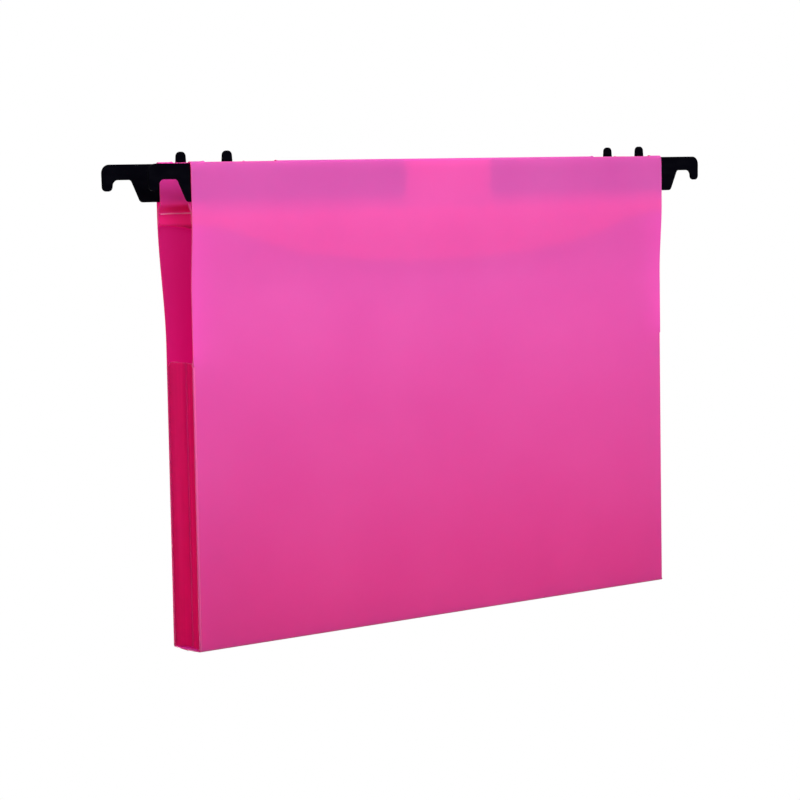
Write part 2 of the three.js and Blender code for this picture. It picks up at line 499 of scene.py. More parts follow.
def mesh_object(
    name: str,
    points: Sequence[Vector],
    faces: Sequence[Sequence[int]],
    normals: Sequence[Vector] | None,
    marks: Sequence[int] | None = None,
) -> bpy.types.Object:
    """Makes a smooth-shaded mesh object.

    Args:
        name: Name of the piece.
        points: Places of its points, in millimetres.
        faces: Point numbers of each face.
        normals: Direction in which the surface faces at each point, or None to work them out.
        marks: Material number of each face.

    Returns:
        The new object, linked to the scene.
    """
    mesh = bpy.data.meshes.new(name)
    mesh.from_pydata([tuple(point * METRES_PER_MM) for point in points], [], [list(f) for f in faces])
    mesh.polygons.foreach_set("use_smooth", [True] * len(mesh.polygons))
    if marks is not None:
        mesh.polygons.foreach_set("material_index", list(marks))
    mesh.update()
    if normals is not None:
        mesh.normals_split_custom_set_from_vertices([tuple(normal) for normal in normals])
    piece = bpy.data.objects.new(name, mesh)
    bpy.context.scene.collection.objects.link(piece)
    return piece


@dataclass
class LaidPoints:
    """The points of sheet that is laid on a surface, each with the direction in which it faces."""

    lay: Lay
    edge_radius: float
    points: list[Vector] = field(default_factory=list)
    normals: list[Vector] = field(default_factory=list)

    def put(self, place: Vector, step: Vector, tilt: float, lift: float) -> int:
        """Adds one point of a face or of a rounded edge.

        Args:
            place: Place in the flat sheet.
            step: Direction towards the cut edge, or no step for a point of a face.
            tilt: How far the surface there is turned towards the edge.
            lift: Distance from the middle of the sheet.

        Returns:
            The point's number.
        """
        reach = self.edge_radius * math.sin(tilt)
        spot = self.lay.at(place.x + step.x * reach, place.y + step.y * reach)
        self.points.append(spot.point + spot.out * lift)
        edgewise = spot.along * step.x + spot.across * step.y
        normal = spot.out * (math.cos(tilt) * math.copysign(1.0, lift))
        if edgewise.length > TINY:
            normal = normal + edgewise.normalized() * math.sin(tilt)
        self.normals.append(normal.normalized())
        return len(self.points) - 1


@dataclass
class CutSheet:
    """A piece cut from flat sheet and laid on a surface. Its cut edges are rounded.

    Rows and columns are further lines across the sheet, along which its faces may bend.
    """

    name: str
    lay: Lay
    outline: Outline
    thickness: float
    edge_radius: float
    holes: Sequence[Outline] = ()
    rows: Sequence[float] = ()
    columns: Sequence[float] = ()
    line_overrun: float = 10.0
    line_margin: float = 0.2
    edge_tilts: tuple[float, ...] = (30.0, 60.0, 90.0)

    def _cut(self) -> tuple[list[Vector], list[list[int]]]:
        """Cuts the flat part of the sheet into faces.

        Returns:
            The points in the sheet's own two coordinates, and the faces between them.
        """
        loops = [shifted(self.outline, -self.edge_radius)]
        loops += [shifted(hole, self.edge_radius) for hole in self.holes]
        points: list[Vector] = []
        areas: list[list[int]] = []
        for loop in loops:
            areas.append(list(range(len(points), len(points) + len(loop))))
            points.extend(Vector(place) for place in loop)
        reach, margin = self.line_overrun, self.line_margin
        low_u, high_u = (f(p[0] for p in self.outline) for f in (min, max))
        low_v, high_v = (f(p[1] for p in self.outline) for f in (min, max))
        lines: list[tuple[int, int]] = []
        for row in self.rows:
            if low_v + margin < row < high_v - margin:
                lines.append((len(points), len(points) + 1))
                points += [Vector((low_u - reach, row)), Vector((high_u + reach, row))]
        for column in self.columns:
            if low_u + margin < column < high_u - margin:
                lines.append((len(points), len(points) + 1))
                points += [Vector((column, low_v - reach)), Vector((column, high_v + reach))]
        inside = 1
        places, _, cuts, _, _, sources = delaunay_2d_cdt(points, lines, areas, inside, CUT_TOLERANCE, True)
        faces = [list(face) for face, source in zip(cuts, sources) if list(source) == [0]]
        used = sorted({index for face in faces for index in face})
        number = {old: new for new, old in enumerate(used)}
        return [Vector(places[old]) for old in used], [[number[i] for i in face] for face in faces]

    @staticmethod
    def _edge_steps(flat: Sequence[Vector], border: Sequence[tuple[int, int]]) -> dict[int, Vector]:
        """Gives the step towards the cut edge at each point of the border.

        Args:
            flat: The points of the flat sheet.
            border: Numbers of the points that follow each other along the cut edges.

        Returns:
            The step at each of those points.
        """
        preceding = {b: a for a, b in border}
        steps: dict[int, Vector] = {}
        for here, ahead in border:
            before = (flat[here] - flat[preceding[here]]).normalized()
            after = (flat[ahead] - flat[here]).normalized()
            steps[here] = mitre(before, after)
        return steps

    def build(self) -> bpy.types.Object:
        """Builds the closed solid.

        Returns:
            The new object. Faces on the cut edges carry a material number of their own.
        """
        flat, faces = self._cut()
        edges = {(face[i - 1], face[i]) for face in faces for i in range(len(face))}
        border = [(a, b) for a, b in edges if (b, a) not in edges]
        steps = self._edge_steps(flat, border)
        half = self.thickness / 2
        laid = LaidPoints(self.lay, self.edge_radius)
        still = Vector((0.0, 0.0))
        upper = [laid.put(place, still, 0.0, half) for place in flat]
        lower = [laid.put(place, still, 0.0, -half) for place in flat]
        solid = [[upper[i] for i in face] for face in faces]
        solid += [[lower[i] for i in reversed(face)] for face in faces]
        marks = [FACE_MARK] * len(solid)
        tilts = [math.radians(angle) for angle in self.edge_tilts]
        rings = [{here: upper[here] for here in steps}]
        for face_side, turns in ((1.0, tilts), (-1.0, tilts[::-1])):
            for tilt in turns:
                lift = face_side * (half - self.edge_radius * (1 - math.cos(tilt)))
                rings.append({here: laid.put(flat[here], steps[here], tilt, lift) for here in steps})
        rings.append({here: lower[here] for here in steps})
        for above, below in zip(rings, rings[1:]):
            for a, b in border:
                solid.append([above[b], above[a], below[a], below[b]])
                marks.append(EDGE_MARK)
        return mesh_object(self.name, laid.points, solid, laid.normals, marks)


# Finishes


# Places in a material, in metres: where painted light on faces inside the pocket near the sleeves gives way
# to painted shade, where the sheet turns more translucent towards its foot as painted shade, darker and
# redder there, how softly the painted light behind a flap's edge fades, and the products of Y and the
# surface's own Y direction between which a face counts as inward
PAINTED_LIGHT_SPAN = (-0.0265, -0.0235)
FOOT_SHADE_SPAN = (-0.25, -0.05)
FLAP_BLUR = 0.0012
INWARD_SPAN = (-0.006, -0.002)

# The range in which most of a noise pattern's values lie
NOISE_MIDDLE = (0.3, 0.7)


class NodeSketch:
    """A short way to write a material's nodes. Heights and widths in it are in metres."""

    def __init__(self, name: str) -> None:
        """Starts an empty material.

        Args:
            name: Name of the material.
        """
        self.material = bpy.data.materials.new(name)
        self.material.use_nodes = True
        self.tree = self.material.node_tree
        self.tree.nodes.clear()
        self.coordinates = self.tree.nodes.new("ShaderNodeTexCoord").outputs["Object"]

    def node(self, kind: str, inputs: dict[str | int, object] | None = None) -> bpy.types.Node:
        """Adds a node.

        Args:
            kind: What the node is, by the last part of its type's name.
            inputs: What its inputs get, by label or number: another node's output, or a value.

        Returns:
            The new node.
        """
        made = self.tree.nodes.new(f"ShaderNode{kind}")
        for label, value in (inputs or {}).items():
            if isinstance(value, Socket):
                self.tree.links.new(value, made.inputs[label])
            else:
                made.inputs[label].default_value = value
        return made

    def calculate(self, operation: str, first: Socket, second: Socket | None = None) -> Socket:
        """Works out a value from one or two others.

        Args:
            operation: Name of the operation.
            first: The first value.
            second: The second value, where the operation takes one.

        Returns:
            The result.
        """
        made = self.node("Math", {0: first} if second is None else {0: first, 1: second})
        made.operation = operation
        return made.outputs[0]

    def place(self) -> bpy.types.NodeOutputs:
        """The object's own X, Y and Z at the surface."""
        return self.node("SeparateXYZ", {"Vector": self.coordinates}).outputs

    def noise(self, size: float, detail: float = 2.0, stretch: Triple = (1.0, 1.0, 1.0)) -> Socket:
        """Adds a noise pattern.

        Args:
            size: Size of its blotches in millimetres.
            detail: Number of finer layers.
            stretch: How much finer the pattern is along each axis.

        Returns:
            The pattern's value output.
        """
        mapping = self.node("Mapping", {"Vector": self.coordinates, "Scale": stretch})
        scale = 1.0 / (size * METRES_PER_MM)
        inputs = {"Vector": mapping.outputs["Vector"], "Scale": scale, "Detail": detail}
        return self.node("TexNoise", inputs).outputs["Fac"]

    def ramp(self, value: Socket, low: float, high: float, start: float = 0.0, end: float = 1.0) -> Socket:
        """Maps a value from one range to another, and holds it at the ends.

        Args:
            value: The value.
            low: Where the first range starts.
            high: Where the first range ends.
            start: Where the second range starts.
            end: Where the second range ends.

        Returns:
            The mapped value.
        """
        inputs = {"Value": value, "From Min": low, "From Max": high, "To Min": start, "To Max": end}
        return self.node("MapRange", inputs).outputs["Result"]

    def patches(self, pattern: Socket, start: float = 0.0, end: float = 1.0) -> Socket:
        """Maps the middle of a noise pattern's range to another, which gives it more contrast."""
        return self.ramp(pattern, *NOISE_MIDDLE, start, end)

    def mixed(self, share: Socket, first: Colour | Socket, second: Colour | Socket) -> Socket:
        """Mixes two colours by a value.

        Args:
            share: Share of the second colour.
            first: The first colour.
            second: The second colour.

        Returns:
            The mixed colour.
        """
        made = self.tree.nodes.new("ShaderNodeMix")
        made.data_type = "RGBA"
        ends = [end for end in made.inputs if end.type == "RGBA"]
        self.tree.links.new(share, made.inputs["Factor"])
        for end, colour in zip(ends, (first, second)):
            if isinstance(colour, Socket):
                self.tree.links.new(colour, end)
            else:
                end.default_value = colour
        return next(result for result in made.outputs if result.type == "RGBA")

    def blend(self, share: Socket | float, first: bpy.types.Node, second: bpy.types.Node) -> Socket:
        """Mixes two surfaces by a value."""
        return self.node("MixShader", {0: share, 1: first.outputs[0], 2: second.outputs[0]}).outputs[0]

    def flap_cover(self, sizes: PocketSizes) -> Socket:
        """Tells where a wall has its sleeve or its hem flap behind it.

        Args:
            sizes: The pocket's shared sizes.

        Returns:
            A value of 1 above the flap's lower edge and 0 below it.
        """
        place = self.place()
        aside = self.calculate("ABSOLUTE", place["X"])
        inward = self.ramp(aside, 0.0, sizes.half_width * METRES_PER_MM, 1.0, 0.0)
        bow = self.node("FloatCurve", {"Value": inward})
        for share, low in sizes.flap_shares[1:-1]:
            bow.mapping.curves[0].points.new(share, low)
        bow.mapping.update()
        drops = (sizes.flap_end_drop, sizes.flap_middle_drop)
        edge = self.ramp(bow.outputs[0], 0.0, 1.0, *((sizes.crest - drop) * METRES_PER_MM for drop in drops))
        return self.ramp(self.calculate("SUBTRACT", place["Z"], edge), -FLAP_BLUR, FLAP_BLUR)

    def inwardness(self) -> Socket:
        """Tells faces that look into the pocket from those that look out.

        Returns:
            A value of 1 inside the pocket and 0 on its outside.
        """
        normal = self.node("NewGeometry").outputs["Normal"]
        facing = self.node("SeparateXYZ", {"Vector": normal})
        across = self.calculate("MULTIPLY", self.place()["Y"], facing.outputs["Y"])
        return self.ramp(across, *INWARD_SPAN, 1.0, 0.0)

    def bump(self, height: Socket, depth: float, below: Socket | None = None) -> Socket:
        """Adds relief.

        Args:
            height: The pattern.
            depth: Depth of the relief in millimetres.
            below: Relief that lies under this one.

        Returns:
            The bent surface direction.
        """
        inputs = {"Strength": 1.0, "Distance": depth * METRES_PER_MM, "Height": height}
        if below is not None:
            inputs["Normal"] = below
        return self.node("Bump", inputs).outputs["Normal"]

    def plastic(
        self, colour: Socket, haze: Socket, relief: Socket, index: float, gloss: float
    ) -> bpy.types.Node:
        """Adds the shader of a plastic surface.

        Args:
            colour: Its colour.
            haze: Its roughness.
            relief: Its bent surface direction.
            index: Its index of refraction.
            gloss: Strength of its reflections.

        Returns:
            The shader's node.
        """
        skin = self.node("BsdfPrincipled", {"Base Color": colour, "Roughness": haze, "Normal": relief})
        skin.inputs["IOR"].default_value = index
        skin.inputs["Specular IOR Level"].default_value = gloss
        return skin

    def finish(self, surface: Socket) -> bpy.types.Material:
        """Joins the surface to the output and gives the material."""
        self.node("OutputMaterial", {"Surface": surface})
        return self.material


@dataclass(frozen=True)
class SheetFinish:
    """Translucent plastic sheet: its own colour on the lit side, a deeper one where light comes through.

    The colours named inner and painted shade are painted shade for faces that look into the pocket, and
    those named hem and painted light are painted light for the same faces near the sleeves or, on a wall,
    where its hem flap lies behind them.
    """

    name: str
    colour: Colour
    blush: Colour
    through: Colour
    inner: Colour
    painted_shade_through: Colour
    hem: Colour
    painted_light_through: Colour
    translucency: float
    roughness: float
    gloss: float = 0.12
    foot_shade_translucency: float | None = None
    grain_depth: float = 0.0025
    grain_size: float = 0.45
    swell_depth: float = 0.12
    swell_size: float = 75.0
    swell_detail: float = 1.0
    haze_size: float = 9.0
    haze_detail: float = 4.0
    haze_spread: tuple[float, float] = (-0.03, 0.04)
    cloud_size: float = 55.0
    cloud_detail: float = 3.0
    cloud_stretch: Triple = (1.0, 1.0, 1.0)
    index: float = 1.49
    painted_light_behind_flap: bool = False

    def material(self) -> bpy.types.Material:
        """Builds the material.

        Returns:
            The material, with cloudy colour, satin grain, a slight swell, painted light and shade inside the
            pocket and, where set, painted shade towards the foot.
        """
        sketch = NodeSketch(self.name)
        height = sketch.place()["Z"]
        cloud = sketch.patches(sketch.noise(self.cloud_size, self.cloud_detail, self.cloud_stretch))
        inward = sketch.inwardness()
        # painted light on faces inside the pocket near the sleeves, or behind a wall's hem flap; painted
        # shade elsewhere inside
        high = sketch.flap_cover(PocketSizes()) if self.painted_light_behind_flap else sketch.ramp(height, *PAINTED_LIGHT_SPAN)
        painted_light_and_shade_colour = sketch.mixed(high, self.inner, self.hem)
        painted_light_and_shade_through = sketch.mixed(high, self.painted_shade_through, self.painted_light_through)
        colour = sketch.mixed(inward, sketch.mixed(cloud, self.colour, self.blush), painted_light_and_shade_colour)
        through = sketch.mixed(inward, self.through, painted_light_and_shade_through)
        haze_range = (self.roughness + spread for spread in self.haze_spread)
        haze = sketch.patches(sketch.noise(self.haze_size, self.haze_detail), *haze_range)
        swell = sketch.bump(sketch.noise(self.swell_size, self.swell_detail), self.swell_depth)
        grain = sketch.bump(sketch.noise(self.grain_size), self.grain_depth, swell)
        skin = sketch.plastic(colour, haze, grain, self.index, self.gloss)
        inside = sketch.node("BsdfTranslucent", {"Color": through, "Normal": grain})
        # painted shade: the surface turns more translucent towards the foot, so the lower sheet reflects
        # less and looks darker and redder
        share = self.translucency
        if self.foot_shade_translucency is not None:
            share = sketch.ramp(height, *FOOT_SHADE_SPAN, self.foot_shade_translucency, self.translucency)
        return sketch.finish(sketch.blend(share, skin, inside))


@dataclass(frozen=True)
class MouldedFinish:
    """Black moulded plastic with a fine satin grain and faint rubbed patches."""

    name: str
    colour: Colour
    rubbed: Colour
    roughness: float
    gloss: float
    patch_size: float = 14.0
    patch_detail: float = 4.0
    patch_stretch: Triple = (1.0, 1.0, 3.0)
    patch_range: tuple[float, float] = (0.45, 0.75)
    haze_size: float = 5.0
    haze_detail: float = 4.0
    haze_spread: tuple[float, float] = (-0.05, 0.06)
    flow_size: float = 20.0
    flow_stretch: Triple = (0.3, 1.0, 1.0)
    flow_depth: float = 0.03
    grain_size: float = 0.3
    grain_depth: float = 0.004
    index: float = 1.5

    def material(self) -> bpy.types.Material:
        """Builds the material.

        Returns:
            The material, with rubbed patches, marks of the flow and grain.
        """
        sketch = NodeSketch(self.name)
        pattern = sketch.noise(self.patch_size, self.patch_detail, self.patch_stretch)
        colour = sketch.mixed(sketch.ramp(pattern, *self.patch_range), self.colour, self.rubbed)
        haze_range = (self.roughness + spread for spread in self.haze_spread)
        haze = sketch.patches(sketch.noise(self.haze_size, self.haze_detail), *haze_range)
        flow = sketch.bump(sketch.noise(self.flow_size, stretch=self.flow_stretch), self.flow_depth)
        grain = sketch.bump(sketch.noise(self.grain_size), self.grain_depth, flow)
        return sketch.finish(sketch.plastic(colour, haze, grain, self.index, self.gloss).outputs[0])


# Colours that several finishes share: painted light on faces inside the pocket near the sleeves, and painted
# shade on the rest of the pocket's inside
PAINTED_LIT_INSIDE = (0.94, 0.08, 0.56, 1.0)
PAINTED_LIT_INSIDE_THROUGH = (0.98, 0.05, 0.42, 1.0)
PAINTED_SHADE_INSIDE = (0.3, 0.022, 0.16, 1.0)
PAINTED_SHADE_INSIDE_THROUGH = (0.92, 0.04, 0.4, 1.0)
# The sheet's own colour, with painted light and shade on faces inside the pocket and painted shade towards
# the foot
PANEL_FINISH = SheetFinish(
    "pink_sheet",
    colour=(0.72, 0.143, 0.575, 1.0),
    blush=(0.76, 0.163, 0.61, 1.0),
    through=(0.99, 0.06, 0.64, 1.0),
    inner=PAINTED_SHADE_INSIDE,
    painted_shade_through=PAINTED_SHADE_INSIDE_THROUGH,
    hem=PAINTED_LIT_INSIDE,
    painted_light_through=PAINTED_LIT_INSIDE_THROUGH,
    translucency=0.53,
    foot_shade_translucency=0.66,
    roughness=0.44,
    gloss=0.06,
    painted_light_behind_flap=True,
)
# Painted shade: a darker, deeper red copy of the sheet for the gusset strips, whose sides lie in shade
PAINTED_SHADE_GUSSET_FINISH = SheetFinish(
    "pink_sheet_gusset",
    colour=(0.62, 0.012, 0.18, 1.0),
    blush=(0.98, 0.06, 0.36, 1.0),
    through=(0.99, 0.17, 0.66, 1.0),
    inner=(0.52, 0.025, 0.28, 1.0),
    painted_shade_through=(0.94, 0.035, 0.33, 1.0),
    hem=PAINTED_LIT_INSIDE,
    painted_light_through=PAINTED_LIT_INSIDE_THROUGH,
    translucency=0.74,
    roughness=0.44,
    gloss=0.0,
    cloud_size=2.4,
    cloud_stretch=(1.0, 1.0, 0.02),
)
# Painted light: the hem flap is a brighter, more saturated red than the sheet, standing in for light that
# comes through two layers
PAINTED_LIGHT_FLAP_FINISH = SheetFinish(
    "pink_sheet_hem_flap",
    colour=(0.98, 0.03, 0.36, 1.0),
    blush=(1.0, 0.035, 0.4, 1.0),
    through=(0.99, 0.04, 0.4, 1.0),
    inner=(0.34, 0.007, 0.09, 1.0),
    painted_shade_through=(0.92, 0.03, 0.3, 1.0),
    hem=(0.88, 0.028, 0.3, 1.0),
    painted_light_through=(0.97, 0.035, 0.32, 1.0),
    translucency=0.3,
    roughness=0.44,
    gloss=0.06,
)
CUT_FINISH = SheetFinish(
    "pink_sheet_cut_edge",
    colour=(0.74, 0.11, 0.38, 1.0),
    blush=(0.78, 0.13, 0.42, 1.0),
    through=(0.9, 0.05, 0.28, 1.0),
    inner=(0.70, 0.06, 0.30, 1.0),
    painted_shade_through=(0.92, 0.04, 0.26, 1.0),
    hem=(0.74, 0.11, 0.38, 1.0),
    painted_light_through=(0.92, 0.04, 0.26, 1.0),
    translucency=0.4,
    roughness=0.34,
    gloss=0.25,
)
# Painted highlight: a lighter copy of the sheet for the bent creases, where the folds catch the light
PAINTED_HIGHLIGHT_CREASE_FINISH = SheetFinish(
    "pink_sheet_crease",
    colour=(0.95, 0.17, 0.58, 1.0),
    blush=(0.97, 0.19, 0.6, 1.0),
    through=(1.0, 0.12, 0.5, 1.0),
    inner=(0.84, 0.08, 0.48, 1.0),
    painted_shade_through=(0.97, 0.05, 0.32, 1.0),
    hem=(0.9, 0.12, 0.54, 1.0),
    painted_light_through=PAINTED_LIT_INSIDE_THROUGH,
    translucency=0.45,
    roughness=0.42,
    gloss=0.15,
)
# Painted highlight: the weld bead is lighter than the sheet, with lighter blotches, where its lumps catch
# the light
PAINTED_HIGHLIGHT_SEAM_FINISH = SheetFinish(
    "pink_sheet_weld",
    colour=(0.95, 0.24, 0.6, 1.0),
    blush=(1.0, 0.4, 0.72, 1.0),
    through=(1.0, 0.2, 0.55, 1.0),
    inner=(0.95, 0.24, 0.6, 1.0),
    painted_shade_through=(1.0, 0.2, 0.55, 1.0),
    hem=(1.0, 0.34, 0.68, 1.0),
    painted_light_through=(1.0, 0.2, 0.55, 1.0),
    translucency=0.3,
    roughness=0.36,
    gloss=0.3,
    cloud_size=5.0,
)
# Painted shade and painted highlight: the gusset creases are deeper than the sheet, as they lie in shade,
# and lighter than the gusset strips, where the folds catch the light
PAINTED_SHADE_AND_HIGHLIGHT_GUSSET_CREASE_FINISH = SheetFinish(
    "pink_sheet_gusset_crease",
    colour=(0.78, 0.03, 0.3, 1.0),
    blush=(0.82, 0.035, 0.33, 1.0),
    through=(0.98, 0.05, 0.45, 1.0),
    inner=(0.70, 0.035, 0.2, 1.0),
    painted_shade_through=(0.96, 0.03, 0.2, 1.0),
    hem=PAINTED_LIT_INSIDE,
    painted_light_through=PAINTED_LIT_INSIDE_THROUGH,
    translucency=0.45,
    roughness=0.40,
    gloss=0.1,
)
BAR_FINISH = MouldedFinish(
    "black_moulding",
    colour=(0.0011, 0.001, 0.0024, 1.0),
    rubbed=(0.0024, 0.0024, 0.004, 1.0),
    roughness=0.55,
    gloss=0.004,
)


@dataclass
class Finishes:
    """The materials, made once and shared."""

    panel: bpy.types.Material = field(default_factory=PANEL_FINISH.material)
    cut: bpy.types.Material = field(default_factory=CUT_FINISH.material)
    # the hem flaps' finish is painted light
    flap: bpy.types.Material = field(default_factory=PAINTED_LIGHT_FLAP_FINISH.material)
    # the creases' finish is a painted highlight
    crease: bpy.types.Material = field(default_factory=PAINTED_HIGHLIGHT_CREASE_FINISH.material)
    # the gusset strips' finish is painted shade
    gusset: bpy.types.Material = field(default_factory=PAINTED_SHADE_GUSSET_FINISH.material)
    gusset_crease: bpy.types.Material = field(default_factory=PAINTED_SHADE_AND_HIGHLIGHT_GUSSET_CREASE_FINISH.material)
    # the weld bead's finish is a painted highlight
    seam: bpy.types.Material = field(default_factory=PAINTED_HIGHLIGHT_SEAM_FINISH.material)
    bar: bpy.types.Material = field(default_factory=BAR_FINISH.material)


def dressed(piece: bpy.types.Object, slot: Slot, *materials: bpy.types.Material) -> bpy.types.Object:
    """Gives a piece its materials.

    Args:
        piece: The object to dress.
        slot: The record's material slot; not used.
        *materials: Materials by number: faces first, cut edges second, a flap third.

    Returns:
        The same object.
    """
    for material in materials:
        piece.data.materials.append(material)
    return piece


def flat_field(
    cut: CutSheet, finish: bpy.types.Material, edges: bpy.types.Material, body: str, solid: str
) -> bpy.types.Object:
    """Builds and dresses a flat field of sheet that rides on one body and stands for one solid.

    Args:
        cut: The field's cut sheet.
        finish: Material of its faces.
        edges: Material of its cut edges.
        body: The body that it rides on.
        solid: The solid that it stands for.

    Returns:
        The new object.
    """
    piece = dressed(cut.build(), Slot.SHEET, finish, edges)
    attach(piece, body)
    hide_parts(solid)
    return piece


# Sub-assemblies


@dataclass
class WallSheet:
    """A panel with its hem: one sheet that rises from the base, rolls over the bars and is welded back."""

    wall: Wall
    sizes: PocketSizes
    lip_gap: float = 0.12
    lip_spring: float = 0.5
    lip_spring_drop: float = 12.0
    lip_corner: float = 2.0
    lip_corner_shares: tuple[float, ...] = (0.0, 0.03, 0.12, 0.3, 0.55)
    lip_steps: int = 90
    evening_reach: float = 9.0
    evening_steps: int = 8
    slot_outer_end: float = 9.0
    slot_inner_end: float = 56.0
    slot_drop: float = 0.84
    slot_radius: float = 0.8
    slot_spread: float = 0.27
    slot_rise: float = 0.62
    spring_run: float = 4.0
    spring_width: float = 2.0
    spring_split: float = 0.6
    notch_rise: float = 0.4
    foot_trim: float = 0.0
    notch: float = 0.0
    panel_steps: int = 6
    flare_steps: int = 30
    sleeve_steps: int = 3
    lean_steps: int = 6
    roll_steps: int = 20
    ramp_steps: int = 8
    flap_steps: int = 12
    column_steps: int = 24
    slot_end_columns: tuple[float, ...] = (-2.0, -1.0, 0.9, 2.0)

    def flap_drop(self, x: float) -> float:
        """Tells how far the flap's lower edge lies below the crest.

        Args:
            x: Place across the width.

        Returns:
            The drop in millimetres.
        """
        inward = min(max(1 - abs(x) / self.sizes.half_width, 0.0), 1.0)
        bow = 0.0
        shares = self.sizes.flap_shares
        for (near, low), (far, high) in zip(shares, shares[1:]):
            if near <= inward <= far:
                bow = low + (high - low) * (inward - near) / (far - near)
        end, middle = self.sizes.flap_end_drop, self.sizes.flap_middle_drop
        return end + (middle - end) * bow

    def _smooth_drop(self, x: float) -> float:
        """Evens the flap's drop out over a short width, and cuts it back round at its two corners.

        Args:
            x: Place across the width.

        Returns:
            The drop in millimetres.
        """
        steps = spaced(-self.evening_reach, self.evening_reach, self.evening_steps)
        drop = sum(self.flap_drop(x + step) for step in steps) / len(steps)
        inset = self.sizes.half_width - abs(x)
        if inset < self.lip_corner:
            drop -= self.lip_corner - math.sqrt(self.lip_corner**2 - (self.lip_corner - inset) ** 2)
        return drop

    def inner_inset(self, height: float) -> float:
        """Gives the inset of the inner wall's middle, from the sleeve down over the weld to the lip.

        Args:
            height: Height in millimetres.

        Returns:
            The inset in millimetres.
        """
        s = self.sizes
        own = s.sheet / 2
        sleeve = s.sleeve_half * 2 - own
        fall = max(s.weld_level - height, 0.0)
        spring = self.lip_gap + self.lip_spring * (1 - math.exp(-fall / self.lip_spring_drop))
        lip = self.wall.inset_at(height, s) + s.sheet + own + (spring if fall > 0 else self.lip_gap)
        share = min(max((height - s.weld_level) / s.weld_ramp, 0.0), 1.0)
        return lip + (sleeve - lip) * (1 - math.cos(math.pi * share)) / 2

    def path(self) -> Path:
        """Draws the section: up the outer wall, over the crest and down the inner wall.

        Returns:
            The line of the sheet's middle, as inset and height.
        """
        s = self.sizes
        own = s.sheet / 2
        foot = s.foot_level + self.foot_trim
        arc_rise = s.roll_radius * (1 - math.sin(s.roll_lean))
        fold_level = s.crest - own - arc_rise - s.roll_lean_radius * math.sin(s.roll_lean)
        path = Path(Vector((self.wall.flare + own, foot)), Vector((0.0, 1.0)))
        flare_foot = s.weld_level - self.wall.flare_height
        flare = spaced(flare_foot, s.weld_level, self.flare_steps)
        ramp_top = s.weld_level + s.weld_ramp
        flap_foot = s.crest - s.flap_middle_drop
        path.line(flare_foot - foot, self.panel_steps)
        path.follow(lambda z: self.wall.inset_at(z, s) + own, flare[1:])
        path.line(fold_level - s.weld_level, self.sleeve_steps)
        path.arc(s.roll_lean_radius, -s.roll_lean, self.lean_steps)
        path.arc(s.roll_radius, 2 * s.roll_lean - math.pi, self.roll_steps)
        path.arc(s.roll_lean_radius, -s.roll_lean, self.lean_steps)
        path.line(fold_level - ramp_top, self.sleeve_steps)
        path.follow(self.inner_inset, spaced(ramp_top, s.weld_level, self.ramp_steps)[1:])
        path.follow(self.inner_inset, spaced(s.weld_level, flap_foot, self.flap_steps)[1:])
        return path

    def _outline(self, path: Path) -> list[tuple[float, float]]:
        """Draws the flat outline, anticlockwise from the foot's right corner.

        Args:
            path: The section of the sheet.

        Returns:
            The points of the outline.
        """
        s = self.sizes
        half = s.half_width
        narrow = half - self.notch
        notch_top = path.length_at_height(s.gusset_top - s.gusset_corner_cut)
        start = path.length_at_height(s.weld_level, path.length_at_height(s.crest - s.sheet / 2))
        corner = [half - self.lip_corner * share for share in self.lip_corner_shares]
        level = spaced(half - self.lip_corner, self.lip_corner - half, self.lip_steps)
        places = [*corner, *level, *(-x for x in reversed(corner))]
        lip = [(x, path.length_at_height(s.crest - self._smooth_drop(x), start)) for x in places]
        seam = s.edge_radius
        right = [(narrow, -seam), (narrow, notch_top), (half, notch_top + self.notch_rise)]
        left = [(-x, y) for x, y in reversed(right)]
        return [*right, *lip, *left]

    def _slots(self, path: Path) -> list[list[tuple[float, float]]]:
        """Draws the two slots for the pegs, in the flat.

        Args:
            path: The section of the sheet.

        Returns:
            The outline of each slot.
        """
        s = self.sizes
        floor = s.crest - self.slot_drop
        low = path.length_at_height(floor)
        high = path.length_at_height(floor, path.length_at_height(s.crest - s.sheet / 2))
        slots: list[list[tuple[float, float]]] = []
        for side in Side:
            left, right = sorted(
                side.value * (s.half_width - end) for end in (self.slot_outer_end, self.slot_inner_end)
            )
            corners = ((left, low), (right, low), (right, high), (left, high))
            slots.append(rounded_outline([(x, y, self.slot_radius) for x, y in corners]))
        return slots

    def _spring(self, path: Path) -> Callable[[float, float], Vector]:
        """Describes how the cut edges along the slots stand apart and up.

        Args:
            path: The section of the sheet.

        Returns:
            A function that gives the step inward and up at a place of the flat sheet.
        """
        top = path.length_at_height(self.sizes.crest - self.sizes.sheet / 2)

        def spring(u: float, v: float) -> Vector:
            """Gives the step at one place.

            Args:
                u: Place across the width.
                v: Distance along the section.

            Returns:
                The step inward and up.
            """
            inset = self.sizes.half_width - abs(u)
            run = min(inset - self.slot_outer_end, self.slot_inner_end - inset)
            share = min(max(run / self.spring_run + 0.5, 0.0), 1.0)
            off_crest = math.exp(-(((v - top) / self.spring_width) ** 2))
            amount = (1 - math.cos(math.pi * share)) / 2 * off_crest
            side = min(max((v - top) / self.spring_split, -1.0), 1.0)
            return Vector((self.slot_spread * side, self.slot_rise)) * amount

        return spring

